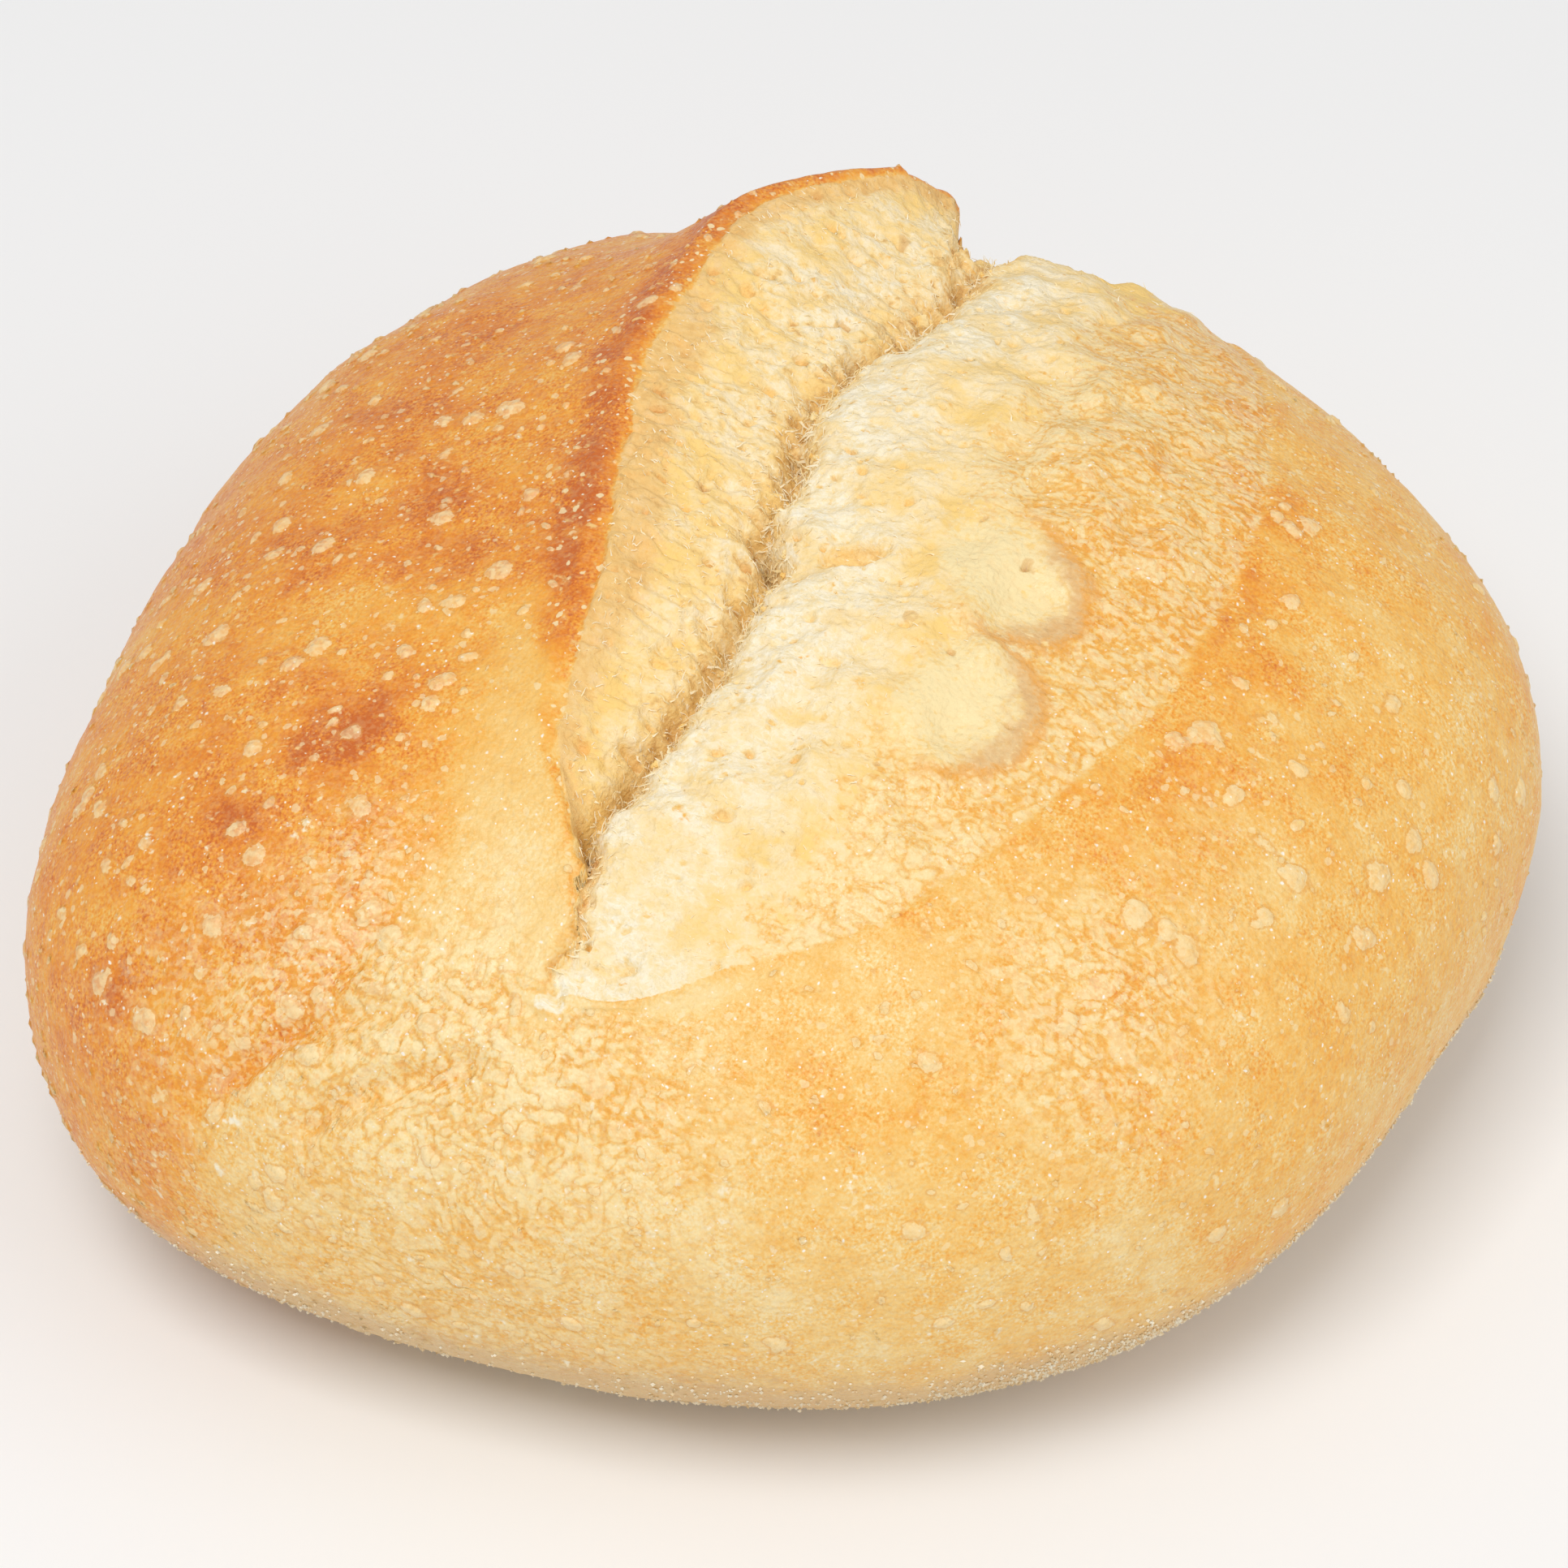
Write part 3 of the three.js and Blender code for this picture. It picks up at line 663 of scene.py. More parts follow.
def loaf_mesh(points, traits):
    """The closed grid as a mesh, with one end point at each end and a trait for every point."""
    rows, around = points.shape[:2]
    ends = [body_skin(np.array([side * np.pi / 2]), np.zeros(1))[0][0] for side in (-1, 1)]
    corners = np.concatenate([points.reshape(-1, 3), ends]) * MM

    # Faces of four sides between the rows, and a fan of triangles at each end.
    row, column = np.meshgrid(np.arange(rows - 1), np.arange(around), indexing="ij")
    beside = (column + 1) % around
    this_row, next_row = row * around, (row + 1) * around
    quads = [this_row + column, this_row + beside, next_row + beside, next_row + column]
    quads = np.stack(quads, -1).reshape(-1, 4)
    here = np.arange(around)
    beside = (here + 1) % around
    last = (rows - 1) * around
    front = np.stack([np.full(around, rows * around), beside, here], -1)
    back = np.stack([np.full(around, rows * around + 1), last + here, last + beside], -1)
    loops = np.concatenate([quads.ravel(), front.ravel(), back.ravel()])
    starts = np.concatenate([np.arange(len(quads)) * 4, len(quads) * 4 + np.arange(2 * around) * 3])
    mesh = bpy.data.meshes.new("loaf_crust")
    mesh.vertices.add(len(corners))
    mesh.vertices.foreach_set("co", corners.ravel())
    mesh.loops.add(len(loops))
    mesh.loops.foreach_set("vertex_index", loops.astype(np.int32))
    mesh.polygons.add(len(starts))
    mesh.polygons.foreach_set("loop_start", starts.astype(np.int32))
    mesh.update(calc_edges=True)
    mesh.shade_smooth()

    # A flat UV sheet: columns run across it and rows up it.
    sheet = mesh.uv_layers.new(name="OFBake")
    u = np.stack([column, column + 1, column + 1, column], -1) / around
    v = np.stack([row + 1, row + 1, row + 2, row + 2], -1) / (rows + 1)
    u_end = np.stack([here + 0.5, here + 1, here], -1) / around
    v_front = np.tile([0, 1, 1], (around, 1)) / (rows + 1)
    u_back = np.stack([here + 0.5, here, here + 1], -1) / around
    v_back = 1 - np.tile([0, 1, 1], (around, 1)) / (rows + 1)
    us = np.concatenate([u.ravel(), u_end.ravel(), u_back.ravel()])
    vs = np.concatenate([v.ravel(), v_front.ravel(), v_back.ravel()])
    sheet.data.foreach_set("uv", np.stack([us, vs], -1).astype(np.float32).ravel())

    for name, values in traits.items():
        trait = mesh.attributes.new(name, "FLOAT", "POINT")
        padded = np.concatenate([values.ravel(), values[0, :1], values[-1, :1]])
        trait.data.foreach_set("value", padded.astype(np.float32))
    mesh.validate()
    return mesh


traits = {
    "raw": raw,
    "pit": pit,
    "hole": hole,
    "rim": rim,
    "slit": slit * top,
    # painted shade along the groove
    "groove": painted_groove_shade,
    "pocket": np.where(torn > 0.5, pocket, -1),
    "pocket_side": pocket_side,
    "net": set_net,
    "wrinkled": wrinkled,
    "winding": winding,
    "bake": bake,
    "blister": blister,
    "face_toast": face_toast * opened,
    "face_gold": face_gold * opened,
    "calm": calm,
    "dusted": dusted,
    "face": ease(-5, 1, -from_groove) * opened,
}
loaf = placed("loaf_crust", loaf_mesh(points, traits))

# ---- the loaf's material ----------------------------------------------------------------------
# Baked flour dough. The crust is a browned, faintly glossy skin with pale blisters and specks; the
# crumb is matt cream with painted tan shade in its hollows; the net is a thin golden skin over crumb.


class Wire:
    """A value, colour or vector in a finish. Arithmetic on values adds Math nodes."""

    def __init__(self, finish, socket):
        self.finish = finish
        self.socket = socket

    def _math(self, operation, *values):
        return self.finish.node("ShaderNodeMath", {"operation": operation}, dict(enumerate(values)))

    def __add__(self, other):
        return self._math("ADD", self, other)

    __radd__ = __add__

    def __sub__(self, other):
        return self._math("SUBTRACT", self, other)

    def __rsub__(self, other):
        return self._math("SUBTRACT", other, self)

    def __mul__(self, other):
        return self._math("MULTIPLY", self, other)

    __rmul__ = __mul__

    def off(self, middle):
        """How far the value is from middle, either way."""
        return self._math("ABSOLUTE", self - middle)

    def ease(self, start, end):
        """A smooth step from 0 at start to 1 at end."""
        sockets = {"Value": self, "From Min": start, "From Max": end}
        return self.finish.node("ShaderNodeMapRange", {"interpolation_type": "SMOOTHSTEP"}, sockets)


class Finish:
    """One material. node() adds any node: its settings are set first, then its sockets."""

    def __init__(self, name, roughness):
        self.material = bpy.data.materials.new(name)
        self.material.use_nodes = True
        self.tree = self.material.node_tree
        self.shader = self.tree.nodes["Principled BSDF"]
        self.give("Roughness", roughness)

    def node(self, kind, settings=None, sockets=None, output=0):
        made = self.tree.nodes.new(kind)
        for name, value in (settings or {}).items():
            if name == "stops":
                self._stops(made.color_ramp, value)
            else:
                setattr(made, name, value)
        for name, value in (sockets or {}).items():
            self.feed(made.inputs[name], value)
        return Wire(self, made.outputs[output])

    def _stops(self, ramp, stops):
        while len(ramp.elements) < len(stops):
            ramp.elements.new(1.0)
        for element, (position, colour) in zip(ramp.elements, stops):
            element.position = position
            element.color = (*colour, 1)

    def feed(self, socket, value):
        if isinstance(value, Wire):
            self.tree.links.new(value.socket, socket)
        else:
            socket.default_value = value

    def give(self, name, value):
        """Feeds one of the shader's own sockets."""
        self.feed(self.shader.inputs[name], value)

    def mix(self, base, over, share):
        """Colour base, with colour over laid on it by share. 6, 7 and 2 are the colour sockets."""
        colours = {6: base, 7: over}
        named = {n: (*c, 1) if isinstance(c, tuple) else c for n, c in colours.items()}
        return self.node("ShaderNodeMix", {"data_type": "RGBA"}, {0: share, **named}, 2)

    def trait(self, name):
        """A value that the mesh carries for every point."""
        return self.node("ShaderNodeAttribute", {"attribute_name": name}, output="Fac")

    def squeezed_place(self, across):
        """Places in millimetres, turned to the cut and squeezed across it."""
        place = self.node("ShaderNodeTexCoord", output="Object")
        scale = (MM, MM / across, MM / across)
        sockets = {"Vector": place, "Rotation": (0, 0, CUT_BEARING), "Scale": scale}
        return self.node("ShaderNodeMapping", {"vector_type": "TEXTURE"}, sockets)

    def noise(self, place, size, detail=2.0):
        """Noise about 0.5, with lumps of a size in millimetres."""
        sockets = {"Vector": place, "Scale": 1 / size, "Detail": detail}
        return self.node("ShaderNodeTexNoise", None, sockets)

    def cells(self, place, size, output="Distance"):
        """Distance to the nearest of scattered points, in sizes, or its own random colour."""
        return self.node("ShaderNodeTexVoronoi", None, {"Vector": place, "Scale": 1 / size}, output)

    def spots(self, place, size, share, radius):
        """How deep a place lies in scattered round spots, 1 in the middle and 0 at the rim. The
        radius is a share of size."""
        away = self.cells(place, size)
        colour = {"Color": self.cells(place, size, "Color")}
        drawn = self.node("ShaderNodeSeparateColor", None, colour, "Red")
        reach = self.node("ShaderNodeSeparateColor", None, colour, "Green")
        return 1 - away * (2 - reach) * (1 / radius) - 9 * drawn.ease(share, share + 0.01)

    def vectors(self, operation, sockets):
        return self.node("ShaderNodeVectorMath", {"operation": operation}, sockets)

    def warped(self, place, size, amount):
        """Places pushed about by noise, by an amount in millimetres."""
        drift = self.node("ShaderNodeTexNoise", None, {"Vector": place, "Scale": 1 / size}, "Color")
        centred = self.vectors("SUBTRACT", {0: drift, 1: (0.5, 0.5, 0.5)})
        return self.vectors("ADD", {0: place, 1: self.vectors("SCALE", {0: centred, "Scale": amount})})

    def bump(self, height, strength=1.0):
        """Relief in millimetres too fine for the mesh."""
        sockets = {"Height": height, "Strength": strength, "Distance": MM}
        self.give("Normal", self.node("ShaderNodeBump", None, sockets))


CRUST_BROWNING = (
    (0.0, (0.93, 0.73, 0.38)),
    (0.2, (0.91, 0.60, 0.21)),
    (0.4, (0.90, 0.49, 0.105)),
    (0.6, (0.88, 0.37, 0.046)),
    (0.8, (0.79, 0.25, 0.030)),
    (1.0, (0.61, 0.14, 0.022)),
)
CRUMB_GOLDEN = (0.94, 0.65, 0.23)
CRUMB_TOASTED = (0.84, 0.50, 0.17)
PORE_SHADE_TAN = (0.80, 0.53, 0.22)
HOLE_SHADE_BROWN = (0.50, 0.24, 0.07)
BLISTER_CREAM = (0.94, 0.72, 0.38)
BLISTER_RIM_AND_SHADE = (0.76, 0.34, 0.07)
FLECK_CREAM = (0.94, 0.75, 0.42)
GLINT_WHITE = (0.97, 0.94, 0.88)
LOW_SHADE_TAN = (0.62, 0.44, 0.25)
VEIN_ORANGE = (0.82, 0.36, 0.06)
NET_CREAM = (0.94, 0.74, 0.36)
CRINKLE_CREAM_AND_HIGHLIGHT = (0.96, 0.83, 0.53)
NET_GOLD = (0.93, 0.66, 0.26)
POCKET_CREAM = (0.94, 0.77, 0.42)
POCKET_SHADE_TAN = (0.72, 0.42, 0.18)


def crust_colour(f, place, drifting, fine):
    """Browned skin: fine grain, pale curds with orange veins, fine winding lines with painted
    highlights between them, blisters, cream flecks, flour specks with painted white glints, and painted
    shade on the lower wall."""
    even = f.squeezed_place(1.0)
    wandering = f.warped(even, 2.0, 1.4)
    coarse = f.noise(wandering, 2.4, 3) - 0.5
    blotchy = f.noise(even, 6, 1) - 0.5
    grain = f.noise(even, 0.42, 1) - 0.5
    lively = 1 - 0.7 * f.trait("calm")
    grainy = (0.4 + 0.6 * f.noise(place, 5, 1).ease(0.4, 0.62)) * lively
    bake = f.trait("bake") + (0.45 * coarse + 0.35 * blotchy) * lively + grain * grainy
    crust = f.node("ShaderNodeValToRGB", {"stops": CRUST_BROWNING}, {"Fac": bake})

    marbled = 0.2 * lively + 0.8 * f.trait("wrinkled").ease(0.0, 0.8)
    curds = f.noise(drifting, 0.7, 2)
    crust = f.mix(crust, NET_CREAM, curds.ease(0.45, 0.62) * marbled * 0.6)
    crust = f.mix(crust, VEIN_ORANGE, curds.ease(0.45, 0.34) * marbled * 0.3)
    winding = f.trait("winding").off(0.0) + 0.25 * fine
    lines = 1 - winding.ease(0.0, 0.22)
    crinkled = f.trait("wrinkled").ease(0.0, 0.9) * (1 - 0.2 * f.trait("net"))
    # Orange lines in the furrows, partly crust colour and partly painted shade; between them the
    # crinkle tops are paler, partly painted highlight.
    crust = f.mix(crust, VEIN_ORANGE, lines * crinkled * 0.5)
    crust = f.mix(crust, CRINKLE_CREAM_AND_HIGHLIGHT, winding.ease(0.22, 0.5) * crinkled * 0.4)

    dome = f.trait("blister") + 0.5 * fine
    mottled = 0.38 + 0.4 * f.noise(place, 0.8, 1).ease(0.35, 0.65)
    crust = f.mix(crust, BLISTER_CREAM, dome.ease(0.0, 0.1) * mottled)
    # A darker ring round each blister: a browner edge, partly painted shade at the dome's foot.
    blister_rim_and_shade = dome.ease(-0.25, -0.05) * (1 - dome.ease(-0.05, 0.1))
    crust = f.mix(crust, BLISTER_RIM_AND_SHADE, blister_rim_and_shade * 0.45)
    flecks = f.spots(wandering, 1.8, 0.6, 0.36) + 0.8 * fine
    flaky = 0.55 + 0.35 * f.trait("rim")
    crust = f.mix(crust, FLECK_CREAM, flecks.ease(0.0, 0.25) * flaky)
    # Where flour specks lie, each with a painted white glint, a highlight, in its middle.
    flour_and_glints = f.noise(place, 8, 1).ease(0.34, 0.54)
    specks = f.spots(wandering, 0.9, 0.4, 0.36) + 0.8 * fine
    crust = f.mix(crust, FLECK_CREAM, specks.ease(0.0, 0.3) * flour_and_glints * 0.5)
    crust = f.mix(crust, GLINT_WHITE, specks.ease(0.3, 0.6) * flour_and_glints * 0.85)
    # Painted shade darkens the lower wall to grey tan towards the sole.
    low_wall_shading = (f.trait("dusted") + 0.8 * coarse + fine).ease(0.0, 1.0)
    crust = f.mix(crust, LOW_SHADE_TAN, low_wall_shading * 0.6)
    return pocket_colour(f, crust, lines, coarse, fine)


def pocket_colour(f, crust, lines, coarse, fine):
    """Burst bubbles: a thin orange rim on the right, cream lining, and painted tan shade inside
    their right side, under the rim.
    """
    pocket, side = f.trait("pocket"), f.trait("pocket_side")
    right = side.ease(-4.0, 3.0)
    depth = pocket + 0.25 * fine + (0.75 - 0.45 * right) * coarse
    inside = depth.ease(-0.08, 0.12) * right + depth.ease(-0.25, 0.5) * (1 - right)
    # Painted shade inside the pocket's right side, under its rim.
    painted_pocket_shade = side.ease(1.0, 6.0) * (1 - (pocket + 0.6 * coarse).ease(0.12, 0.4))
    mottled = f.noise(f.warped(f.squeezed_place(0.8), 0.9, 0.8), 0.8, 4)
    lining = f.mix(NET_GOLD, POCKET_CREAM, (mottled + 0.35 * pocket).ease(0.42, 0.66))
    lining = f.mix(lining, VEIN_ORANGE, lines * 0.08)
    lining = f.mix(lining, POCKET_SHADE_TAN, painted_pocket_shade * (1.1 - 0.6 * mottled))
    rim = depth.ease(-0.2, -0.02) * (1 - depth.ease(0.0, 0.12))
    crust = f.mix(crust, VEIN_ORANGE, rim * right * 0.75)
    return f.mix(crust, lining, inside * 0.9)


# From tan to white. The lower tones carry the painted shade of pits, foam cells, slit and groove, as
# well as the crumb's own toasting.
CRUMB_TONES = (
    (0.0, (0.66, 0.39, 0.16)),
    (0.25, (0.84, 0.57, 0.25)),
    (0.5, (0.92, 0.71, 0.37)),
    (0.72, (0.92, 0.78, 0.50)),
    (1.0, (0.96, 0.88, 0.69)),
)


def crumb_colour(f, fine):
    """Torn crumb, from tan pits through cream to white wisps, yellow in stretches and toasted
    along its upper edge. The tan of its pits, foam cells, slit and groove is painted shade."""
    even = f.squeezed_place(0.9)
    whirled = f.warped(f.squeezed_place(0.65), 2.5, 2.2)
    torn_bits = f.noise(f.warped(f.squeezed_place(0.75), 0.9, 1.0), 0.8, 4) - 0.5
    broad = f.noise(whirled, 2.6, 3) - 0.5
    wisps = 1 - f.noise(whirled, 0.9, 4).off(0.5).ease(0.0, 0.07)
    bubbly = f.warped(even, 1.4, 1.3)
    foam = 1 - f.cells(bubbly, 2.1).ease(0.08, 0.5)
    fine_foam = 1 - f.cells(bubbly, 1.1).ease(0.08, 0.5)
    painted_foam_shade = (0.35 + 0.65 * f.trait("face")) * f.noise(even, 4, 2).ease(0.35, 0.55)
    toast = (f.trait("face_toast") + 0.8 * fine + 0.8 * torn_bits).ease(0.2, 0.9)
    lively = 1 + 0.8 * f.trait("face")
    tone = 0.80 + (0.8 * torn_bits + 0.7 * broad + 0.3 * fine) * lively + 0.2 * wisps
    # Painted shade in the foam's cells, where the crumb is hollow.
    tone = tone - (0.5 * foam + 0.3 * fine_foam) * painted_foam_shade
    # Painted shade in the pits; the toast near the rim is the crumb's own colour.
    tone = tone - 0.5 * (f.trait("pit") + 0.5 * fine).ease(-0.1, 0.6) - 0.36 * toast
    # Painted shade along the groove darkens the crumb to tan.
    tone = tone - 0.42 * (f.trait("groove") + 0.7 * fine + 0.5 * torn_bits).ease(0.1, 0.9)
    tone = tone - 0.04 * f.trait("face")
    # Painted shade in the slit.
    tone = tone - 0.5 * (f.trait("slit") + 0.9 * fine).ease(0.0, 0.5)
    crumb = f.node("ShaderNodeValToRGB", {"stops": CRUMB_TONES}, {"Fac": tone})
    golden = f.noise(whirled, 5, 4).ease(0.44, 0.64) * 0.5 + f.trait("face_gold") * 0.8
    crumb = f.mix(crumb, CRUMB_GOLDEN, (golden + 0.5 * fine) * (1 - 0.6 * toast))
    return f.mix(crumb, CRUMB_TOASTED, toast * 0.6)


def loaf_finish():
    """Crust and crumb, with a mottled border between them, and open pores in both that are
    darkened with painted shade.
    """
    f = Finish("baked_dough", 0.5)
    f.give("Specular IOR Level", 0.3)
    place = f.squeezed_place(STRETCH)
    drifting = f.warped(place, 2.4, 1.6)
    fine = f.noise(place, 0.5, 2) - 0.5
    mottle = 1.8 * (f.noise(drifting, 2.2, 3) - 0.5) + 1.6 * (f.noise(drifting, 0.9, 2) - 0.5)
    rawness = (f.trait("raw") + mottle).ease(0.3, 0.7)
    baked = f.mix(crust_colour(f, place, drifting, fine), crumb_colour(f, fine), rawness)
    # Painted shade: a tan ring and a dark brown middle in each open pore stand in for its shadow.
    pore_shade = f.trait("hole") + 0.3 * fine
    baked = f.mix(baked, PORE_SHADE_TAN, pore_shade.ease(-0.15, 0.15) * 0.8)
    baked = f.mix(baked, HOLE_SHADE_BROWN, pore_shade.ease(0.25, 0.7) * 0.55)
    f.give("Base Color", baked)
    f.give("Roughness", 0.40 + 0.45 * rawness + 0.6 * fine)
    soft = f.noise(place, 1.3, 1)
    even = f.squeezed_place(1.0)
    skin = 0.17 * f.noise(even, 0.6, 1) + 0.22 * f.noise(even, 1.1, 1)
    skin = skin + 0.2 * soft * f.trait("wrinkled")
    open_crumb = 0.34 * f.noise(even, 0.8, 2)
    f.bump(skin * (1 - f.trait("raw")) + open_crumb * f.trait("raw"))
    return f.material


loaf.data.materials.append(loaf_finish())
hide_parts("loaf")
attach(loaf, "root")

# ---- crumb threads --------------------------------------------------------------------------
# Torn threads of dried dough that stand off the open crumb, most of them along the groove. Each is
# a thin tapering sliver, and they are one mesh.

THREADS = 7000
THREAD_STATIONS = 5
SHORTEST_THREAD = 0.4
THREAD_RADII = (0.05, 0.10)
luck = np.random.default_rng(3)
spacing = np.linalg.norm(np.diff(points, axis=1, append=points[:, :1]), axis=-1)
open_crumb = raw * (torn > 0.5)


def scattered(weight, count):
    """Grid places drawn by weight, as rows and columns."""
    chances = np.cumsum(weight.ravel())
    picked = np.searchsorted(chances, luck.random(count) * chances[-1])
    return np.unravel_index(np.minimum(picked, weight.size - 1), weight.shape)


def frames_at(row, column):
    """Points of the loaf's surface with unit directions across the cut, along it and outward."""
    here = points[row, column]
    beside = points[row, (column + 2) % points.shape[1]] - points[row, column - 2]
    before, after = np.maximum(row - 2, 0), np.minimum(row + 2, len(points) - 1)
    ahead = points[after, column] - points[before, column]
    across = beside / (np.linalg.norm(beside, axis=-1, keepdims=True) + 1e-9)
    outward = np.cross(across, ahead)
    outward /= np.linalg.norm(outward, axis=-1, keepdims=True) + 1e-9
    outward *= np.sign((outward * normal[row, column]).sum(-1, keepdims=True))
    return here, across, np.cross(outward, across), outward


def joined_mesh(name, corners, triangles, finish):
    """One object of many small closed bodies, in one finish."""
    mesh = bpy.data.meshes.new(name)
    mesh.from_pydata((corners * MM).tolist(), [], triangles.tolist())
    mesh.validate()
    mesh.materials.append(finish)
    return placed(name, mesh)


def thread_mesh():
    """Corners and triangles of all the threads: three-sided slivers that curl and sag."""
    weight = 0.25 + 3.0 * bell(from_groove, 0, 2.5) + 0.5 * (from_groove < -3)
    weight *= np.where(from_groove < 0.5, ease(-60, -44, p), ease(-71, -66, p))
    row, column = scattered(weight * open_crumb * spacing, THREADS)
    here, across, along, outward = frames_at(row, column)
    beside_groove = bell(from_groove[row, column], 0, 3.5)[:, None]
    turn = luck.normal(0, 0.6, (THREADS, 1)) + np.pi * luck.integers(0, 2, (THREADS, 1))
    heading = across * np.cos(turn) + along * np.sin(turn)
    sideways = along * np.cos(turn) - across * np.sin(turn)
    length = SHORTEST_THREAD + (0.8 + 1.0 * beside_groove) * luck.random((THREADS, 1)) ** 2
    rise = luck.uniform(0.05, 0.5, (THREADS, 1)) * length
    sag = luck.uniform(0.0, 0.7, (THREADS, 1)) * length
    curl = luck.normal(0, 0.5, (THREADS, 1)) * length
    thick = luck.uniform(*THREAD_RADII, (THREADS, 1)) * (1 + 0.6 * beside_groove)
    t = np.linspace(0, 1, THREAD_STATIONS)[None, :, None]

    def spread(value):
        return value[:, None, :]

    middle = spread(here - 0.12 * outward) + spread(heading * length) * t
    middle = middle + spread(outward) * (spread(rise) * 2 * t - spread(sag) * t * t)
    wave = luck.normal(0, 0.12, (THREADS, THREAD_STATIONS, 1)) * spread(length) * t
    middle = middle + spread(sideways * curl) * t * t + spread(sideways) * wave
    rings = []
    for corner in range(3):
        angle = corner * 2 * np.pi / 3
        wide = spread(sideways) * math.cos(angle) * 2 + spread(outward) * math.sin(angle)
        rings.append(middle + wide * spread(thick) * (1 - 0.8 * t))
    corners = np.stack(rings, 2).reshape(-1, 3)
    faces = []
    for station in range(THREAD_STATIONS - 1):
        for corner in range(3):
            a, b = 3 * station + corner, 3 * station + (corner + 1) % 3
            faces += [(a, b, b + 3), (a, b + 3, a + 3)]
    corner_count = 3 * THREAD_STATIONS
    faces += [(2, 1, 0), (corner_count - 3, corner_count - 2, corner_count - 1)]
    starts = np.arange(THREADS)[:, None, None] * corner_count
    return corners, (np.array(faces)[None] + starts).reshape(-1, 3)


def dough_finish(name, light, dark):
    """Dry matt dough or flour, mottled between two colours."""
    f = Finish(name, 0.85)
    f.give("Specular IOR Level", 0.2)
    mottled = f.noise(f.squeezed_place(1.0), 3, 2).ease(0.4, 0.65)
    f.give("Base Color", f.mix(light, dark, mottled))
    return f.material


THREAD_CREAM = (0.95, 0.85, 0.62)
THREAD_GOLD = (0.93, 0.75, 0.40)
dried_crumb = dough_finish("dried_crumb", THREAD_CREAM, THREAD_GOLD)
threads = joined_mesh("crumb_threads", *thread_mesh(), dried_crumb)
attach(threads, "root")

# ---- loose crumbs -------------------------------------------------------------------------------
# Bits of crumb that fell into the groove and stayed there, the largest near its back end.

CRUMBS = 90
CRUMB_RADII = (0.15, 0.55)
LARGEST_CRUMB = (57.5, -1.6, 1.4)  # p, q, radius
OCTAHEDRON = ((1, 0, 0), (-1, 0, 0), (0, 1, 0), (0, -1, 0), (0, 0, 1), (0, 0, -1))
UPPER_FACES = [(0, 2, 4), (2, 1, 4), (1, 3, 4), (3, 0, 4)]
LOWER_FACES = [(2, 0, 5), (1, 2, 5), (3, 1, 5), (0, 3, 5)]


def lump_shape(rounds):
    """Corners and triangles of a round lump, cut finer in each round."""
    corners, faces = list(OCTAHEDRON), UPPER_FACES + LOWER_FACES
    for _ in range(rounds):
        finer = []
        for a, b, c in faces:
            middles = []
            for one, other in ((a, b), (b, c), (c, a)):
                middle = np.array(corners[one]) + np.array(corners[other])
                middle = tuple(np.round(middle / np.linalg.norm(middle), 9))
                if middle not in corners:
                    corners.append(middle)
                middles.append(corners.index(middle))
            ab, bc, ca = middles
            finer += [(a, ab, ca), (ab, b, bc), (ca, bc, c), (ab, bc, ca)]
        faces = finer
    return np.array(corners, float), np.array(faces)


def lumps_mesh(places, radii, rounds, unevenness):
    """Uneven lumps at the places, as corners and triangles."""
    shape, faces = lump_shape(rounds)
    stretch = luck.uniform(0.6, 1.3, (len(places), 1, 3))
    broad = noise(shape[None] * 1.3 + places[:, None] * 7.7, 1.0, 200)
    small = noise(shape[None] * 3.1 + places[:, None] * 3.3, 1.0, 201)
    bumpy = 1 + unevenness * (broad + 0.5 * small)[..., None]
    corners = places[:, None] + shape[None] * stretch * bumpy * radii[:, None, None]
    starts = np.arange(len(places))[:, None, None] * len(shape)
    return corners.reshape(-1, 3), (faces[None] + starts).reshape(-1, 3)


fallen = open_crumb * bell(from_groove, 0.5, 1.6) * ease(-60, -40, p)
row, column = scattered(fallen, CRUMBS)
here, _, _, outward = frames_at(row, column)
radii = luck.uniform(*CRUMB_RADII, CRUMBS)
away = np.hypot(p - LARGEST_CRUMB[0], q - LARGEST_CRUMB[1])
nearest = np.argmin(np.where(top < 0.9, np.inf, away))
here[0], radii[0] = points.reshape(-1, 3)[nearest], LARGEST_CRUMB[2]
crumb_mesh = lumps_mesh(here + 0.4 * radii[:, None] * outward, radii, 3, 0.45)
golden_crumb = dough_finish("golden_crumb", THREAD_GOLD, CRUMB_GOLDEN)
crumbs = joined_mesh("loose_crumbs", *crumb_mesh, golden_crumb)
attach(crumbs, "root")

# ---- semolina -----------------------------------------------------------------------------------
# Coarse flour from the baking board, stuck to the lower wall and thickest at the sole's edge.

GRAINS = 18000
GRAIN_RADII = (0.12, 0.32)
GRAIN_SCATTER = 0.2
SEMOLINA_PALE = (0.95, 0.89, 0.72)
SEMOLINA_GOLD = (0.86, 0.70, 0.44)

low = 1 - ease(20, 30, points[..., 2])
low *= (0.25 + np.clip(rough(flow, 14, 210) + 0.2, 0, 1)) * (points[..., 2] > 0.05)
row, column = scattered(low * spacing * np.cos(latitude)[:, None], GRAINS)
here, across, along, outward = frames_at(row, column)
here = here + across * luck.normal(0, GRAIN_SCATTER, (GRAINS, 1))
here = here + along * luck.normal(0, GRAIN_SCATTER, (GRAINS, 1))
radii = luck.uniform(*GRAIN_RADII, GRAINS)
grain_mesh = lumps_mesh(here + 0.5 * radii[:, None] * outward, radii, 0, 0.3)
grain_mesh[0][:, 2] = np.maximum(grain_mesh[0][:, 2], 0)
coarse_flour = dough_finish("semolina", SEMOLINA_PALE, SEMOLINA_GOLD)
semolina = joined_mesh("semolina", *grain_mesh, coarse_flour)
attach(semolina, "root")

# ---- floor, light and camera --------------------------------------------------------------------
# A plain pale floor, a large soft light above the front, a broad fill from the right and an even
# sky. The camera looks down at the loaf's front.

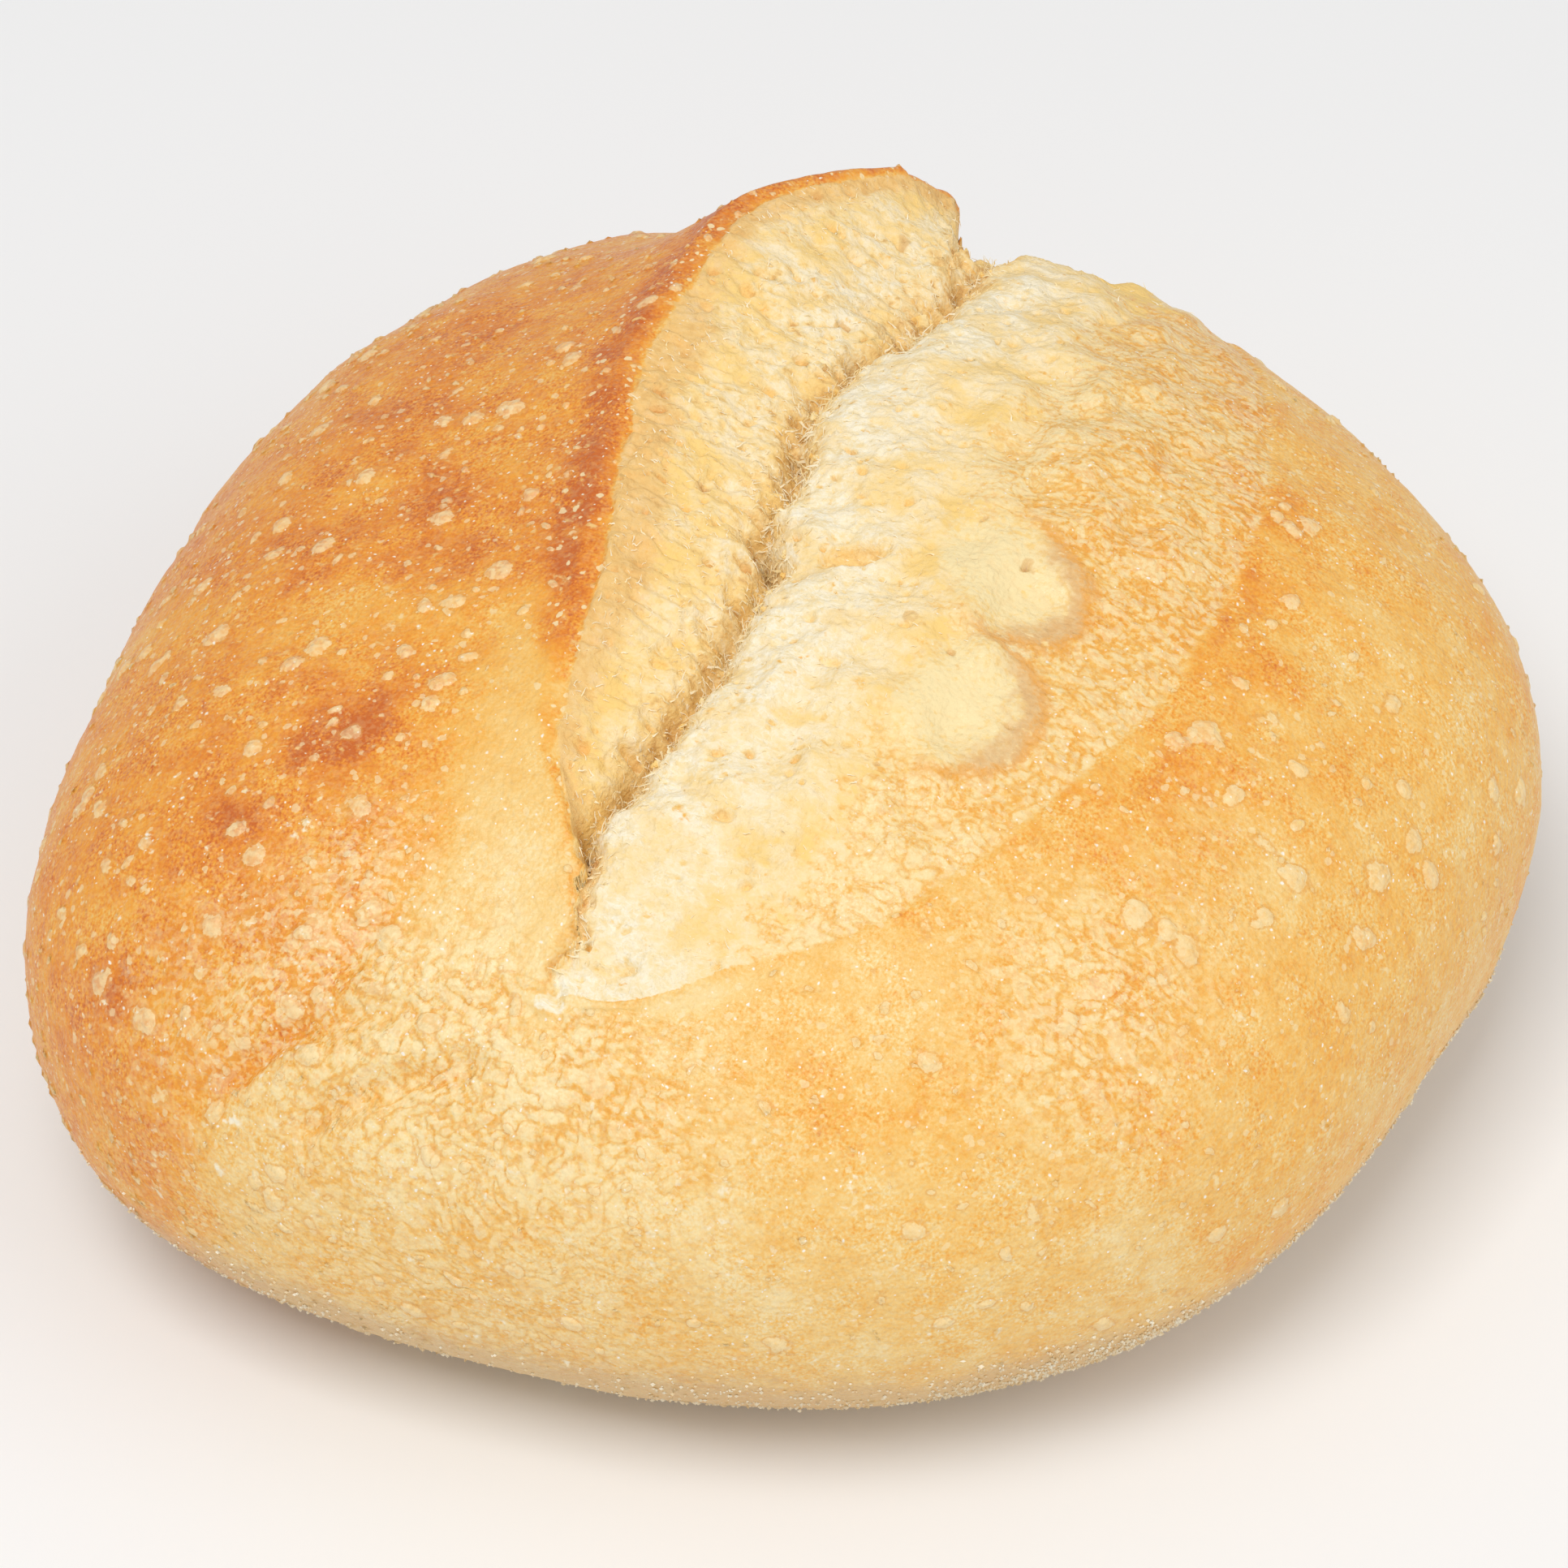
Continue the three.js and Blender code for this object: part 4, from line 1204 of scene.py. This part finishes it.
FLOOR_REACH = 3.0  # metres, as the lamps' sizes and places
LOAF_MIDDLE = np.array([0, 0, 0.04])
SKY_STRENGTH = 0.55


def floor():
    mesh = bpy.data.meshes.new("floor")
    corners = [(x * FLOOR_REACH, y * FLOOR_REACH, 0) for x, y in ((-1, -1), (1, -1), (1, 1), (-1, 1))]
    mesh.from_pydata(corners, [], [(0, 1, 2, 3)])
    f = Finish("pale_floor", 0.9)
    f.give("Base Color", (0.92, 0.92, 0.92, 1))
    mesh.materials.append(f.material)
    return placed("floor", mesh)


def soft_light(name, size, power, place):
    """A square lamp that points at the loaf."""
    lamp = bpy.data.lights.new(name, "AREA")
    lamp.size = size
    lamp.energy = power
    light = placed(name, lamp)
    light.location = place
    aim = LOAF_MIDDLE - np.array(place)
    tilt = math.atan2(math.hypot(aim[0], aim[1]), -aim[2])
    light.rotation_euler = (tilt, 0, math.atan2(-aim[0], aim[1]))


floor()
soft_light("key_light", 0.6, 8.5, (-0.25, -0.5, 1.3))
soft_light("fill_light", 1.0, 3.0, (1.0, -0.5, 0.9))
sky = bpy.data.worlds.new("sky")
sky.use_nodes = True
background = sky.node_tree.nodes["Background"]
background.inputs["Color"].default_value = (1, 1, 1, 1)
background.inputs["Strength"].default_value = SKY_STRENGTH
bpy.context.scene.world = sky
bpy.context.scene.view_settings.view_transform = "Standard"

CAMERA_TARGET = np.array([-1.4, -3.8, 42.0]) * MM
CAMERA_DISTANCE = 750 * MM
CAMERA_ELEVATION = math.radians(45)
FRAME_WIDTH = 208 * MM  # of the view, at the target
SENSOR_WIDTH = 36  # millimetres, as the lens length

lens = bpy.data.cameras.new("camera")
lens.sensor_width = SENSOR_WIDTH
lens.lens = SENSOR_WIDTH * CAMERA_DISTANCE / FRAME_WIDTH
camera = placed("camera", lens)
back_and_up = np.array([0, -math.cos(CAMERA_ELEVATION), math.sin(CAMERA_ELEVATION)])
camera.location = CAMERA_TARGET + CAMERA_DISTANCE * back_and_up
camera.rotation_euler = (math.pi / 2 - CAMERA_ELEVATION, 0, 0)
bpy.context.scene.camera = camera
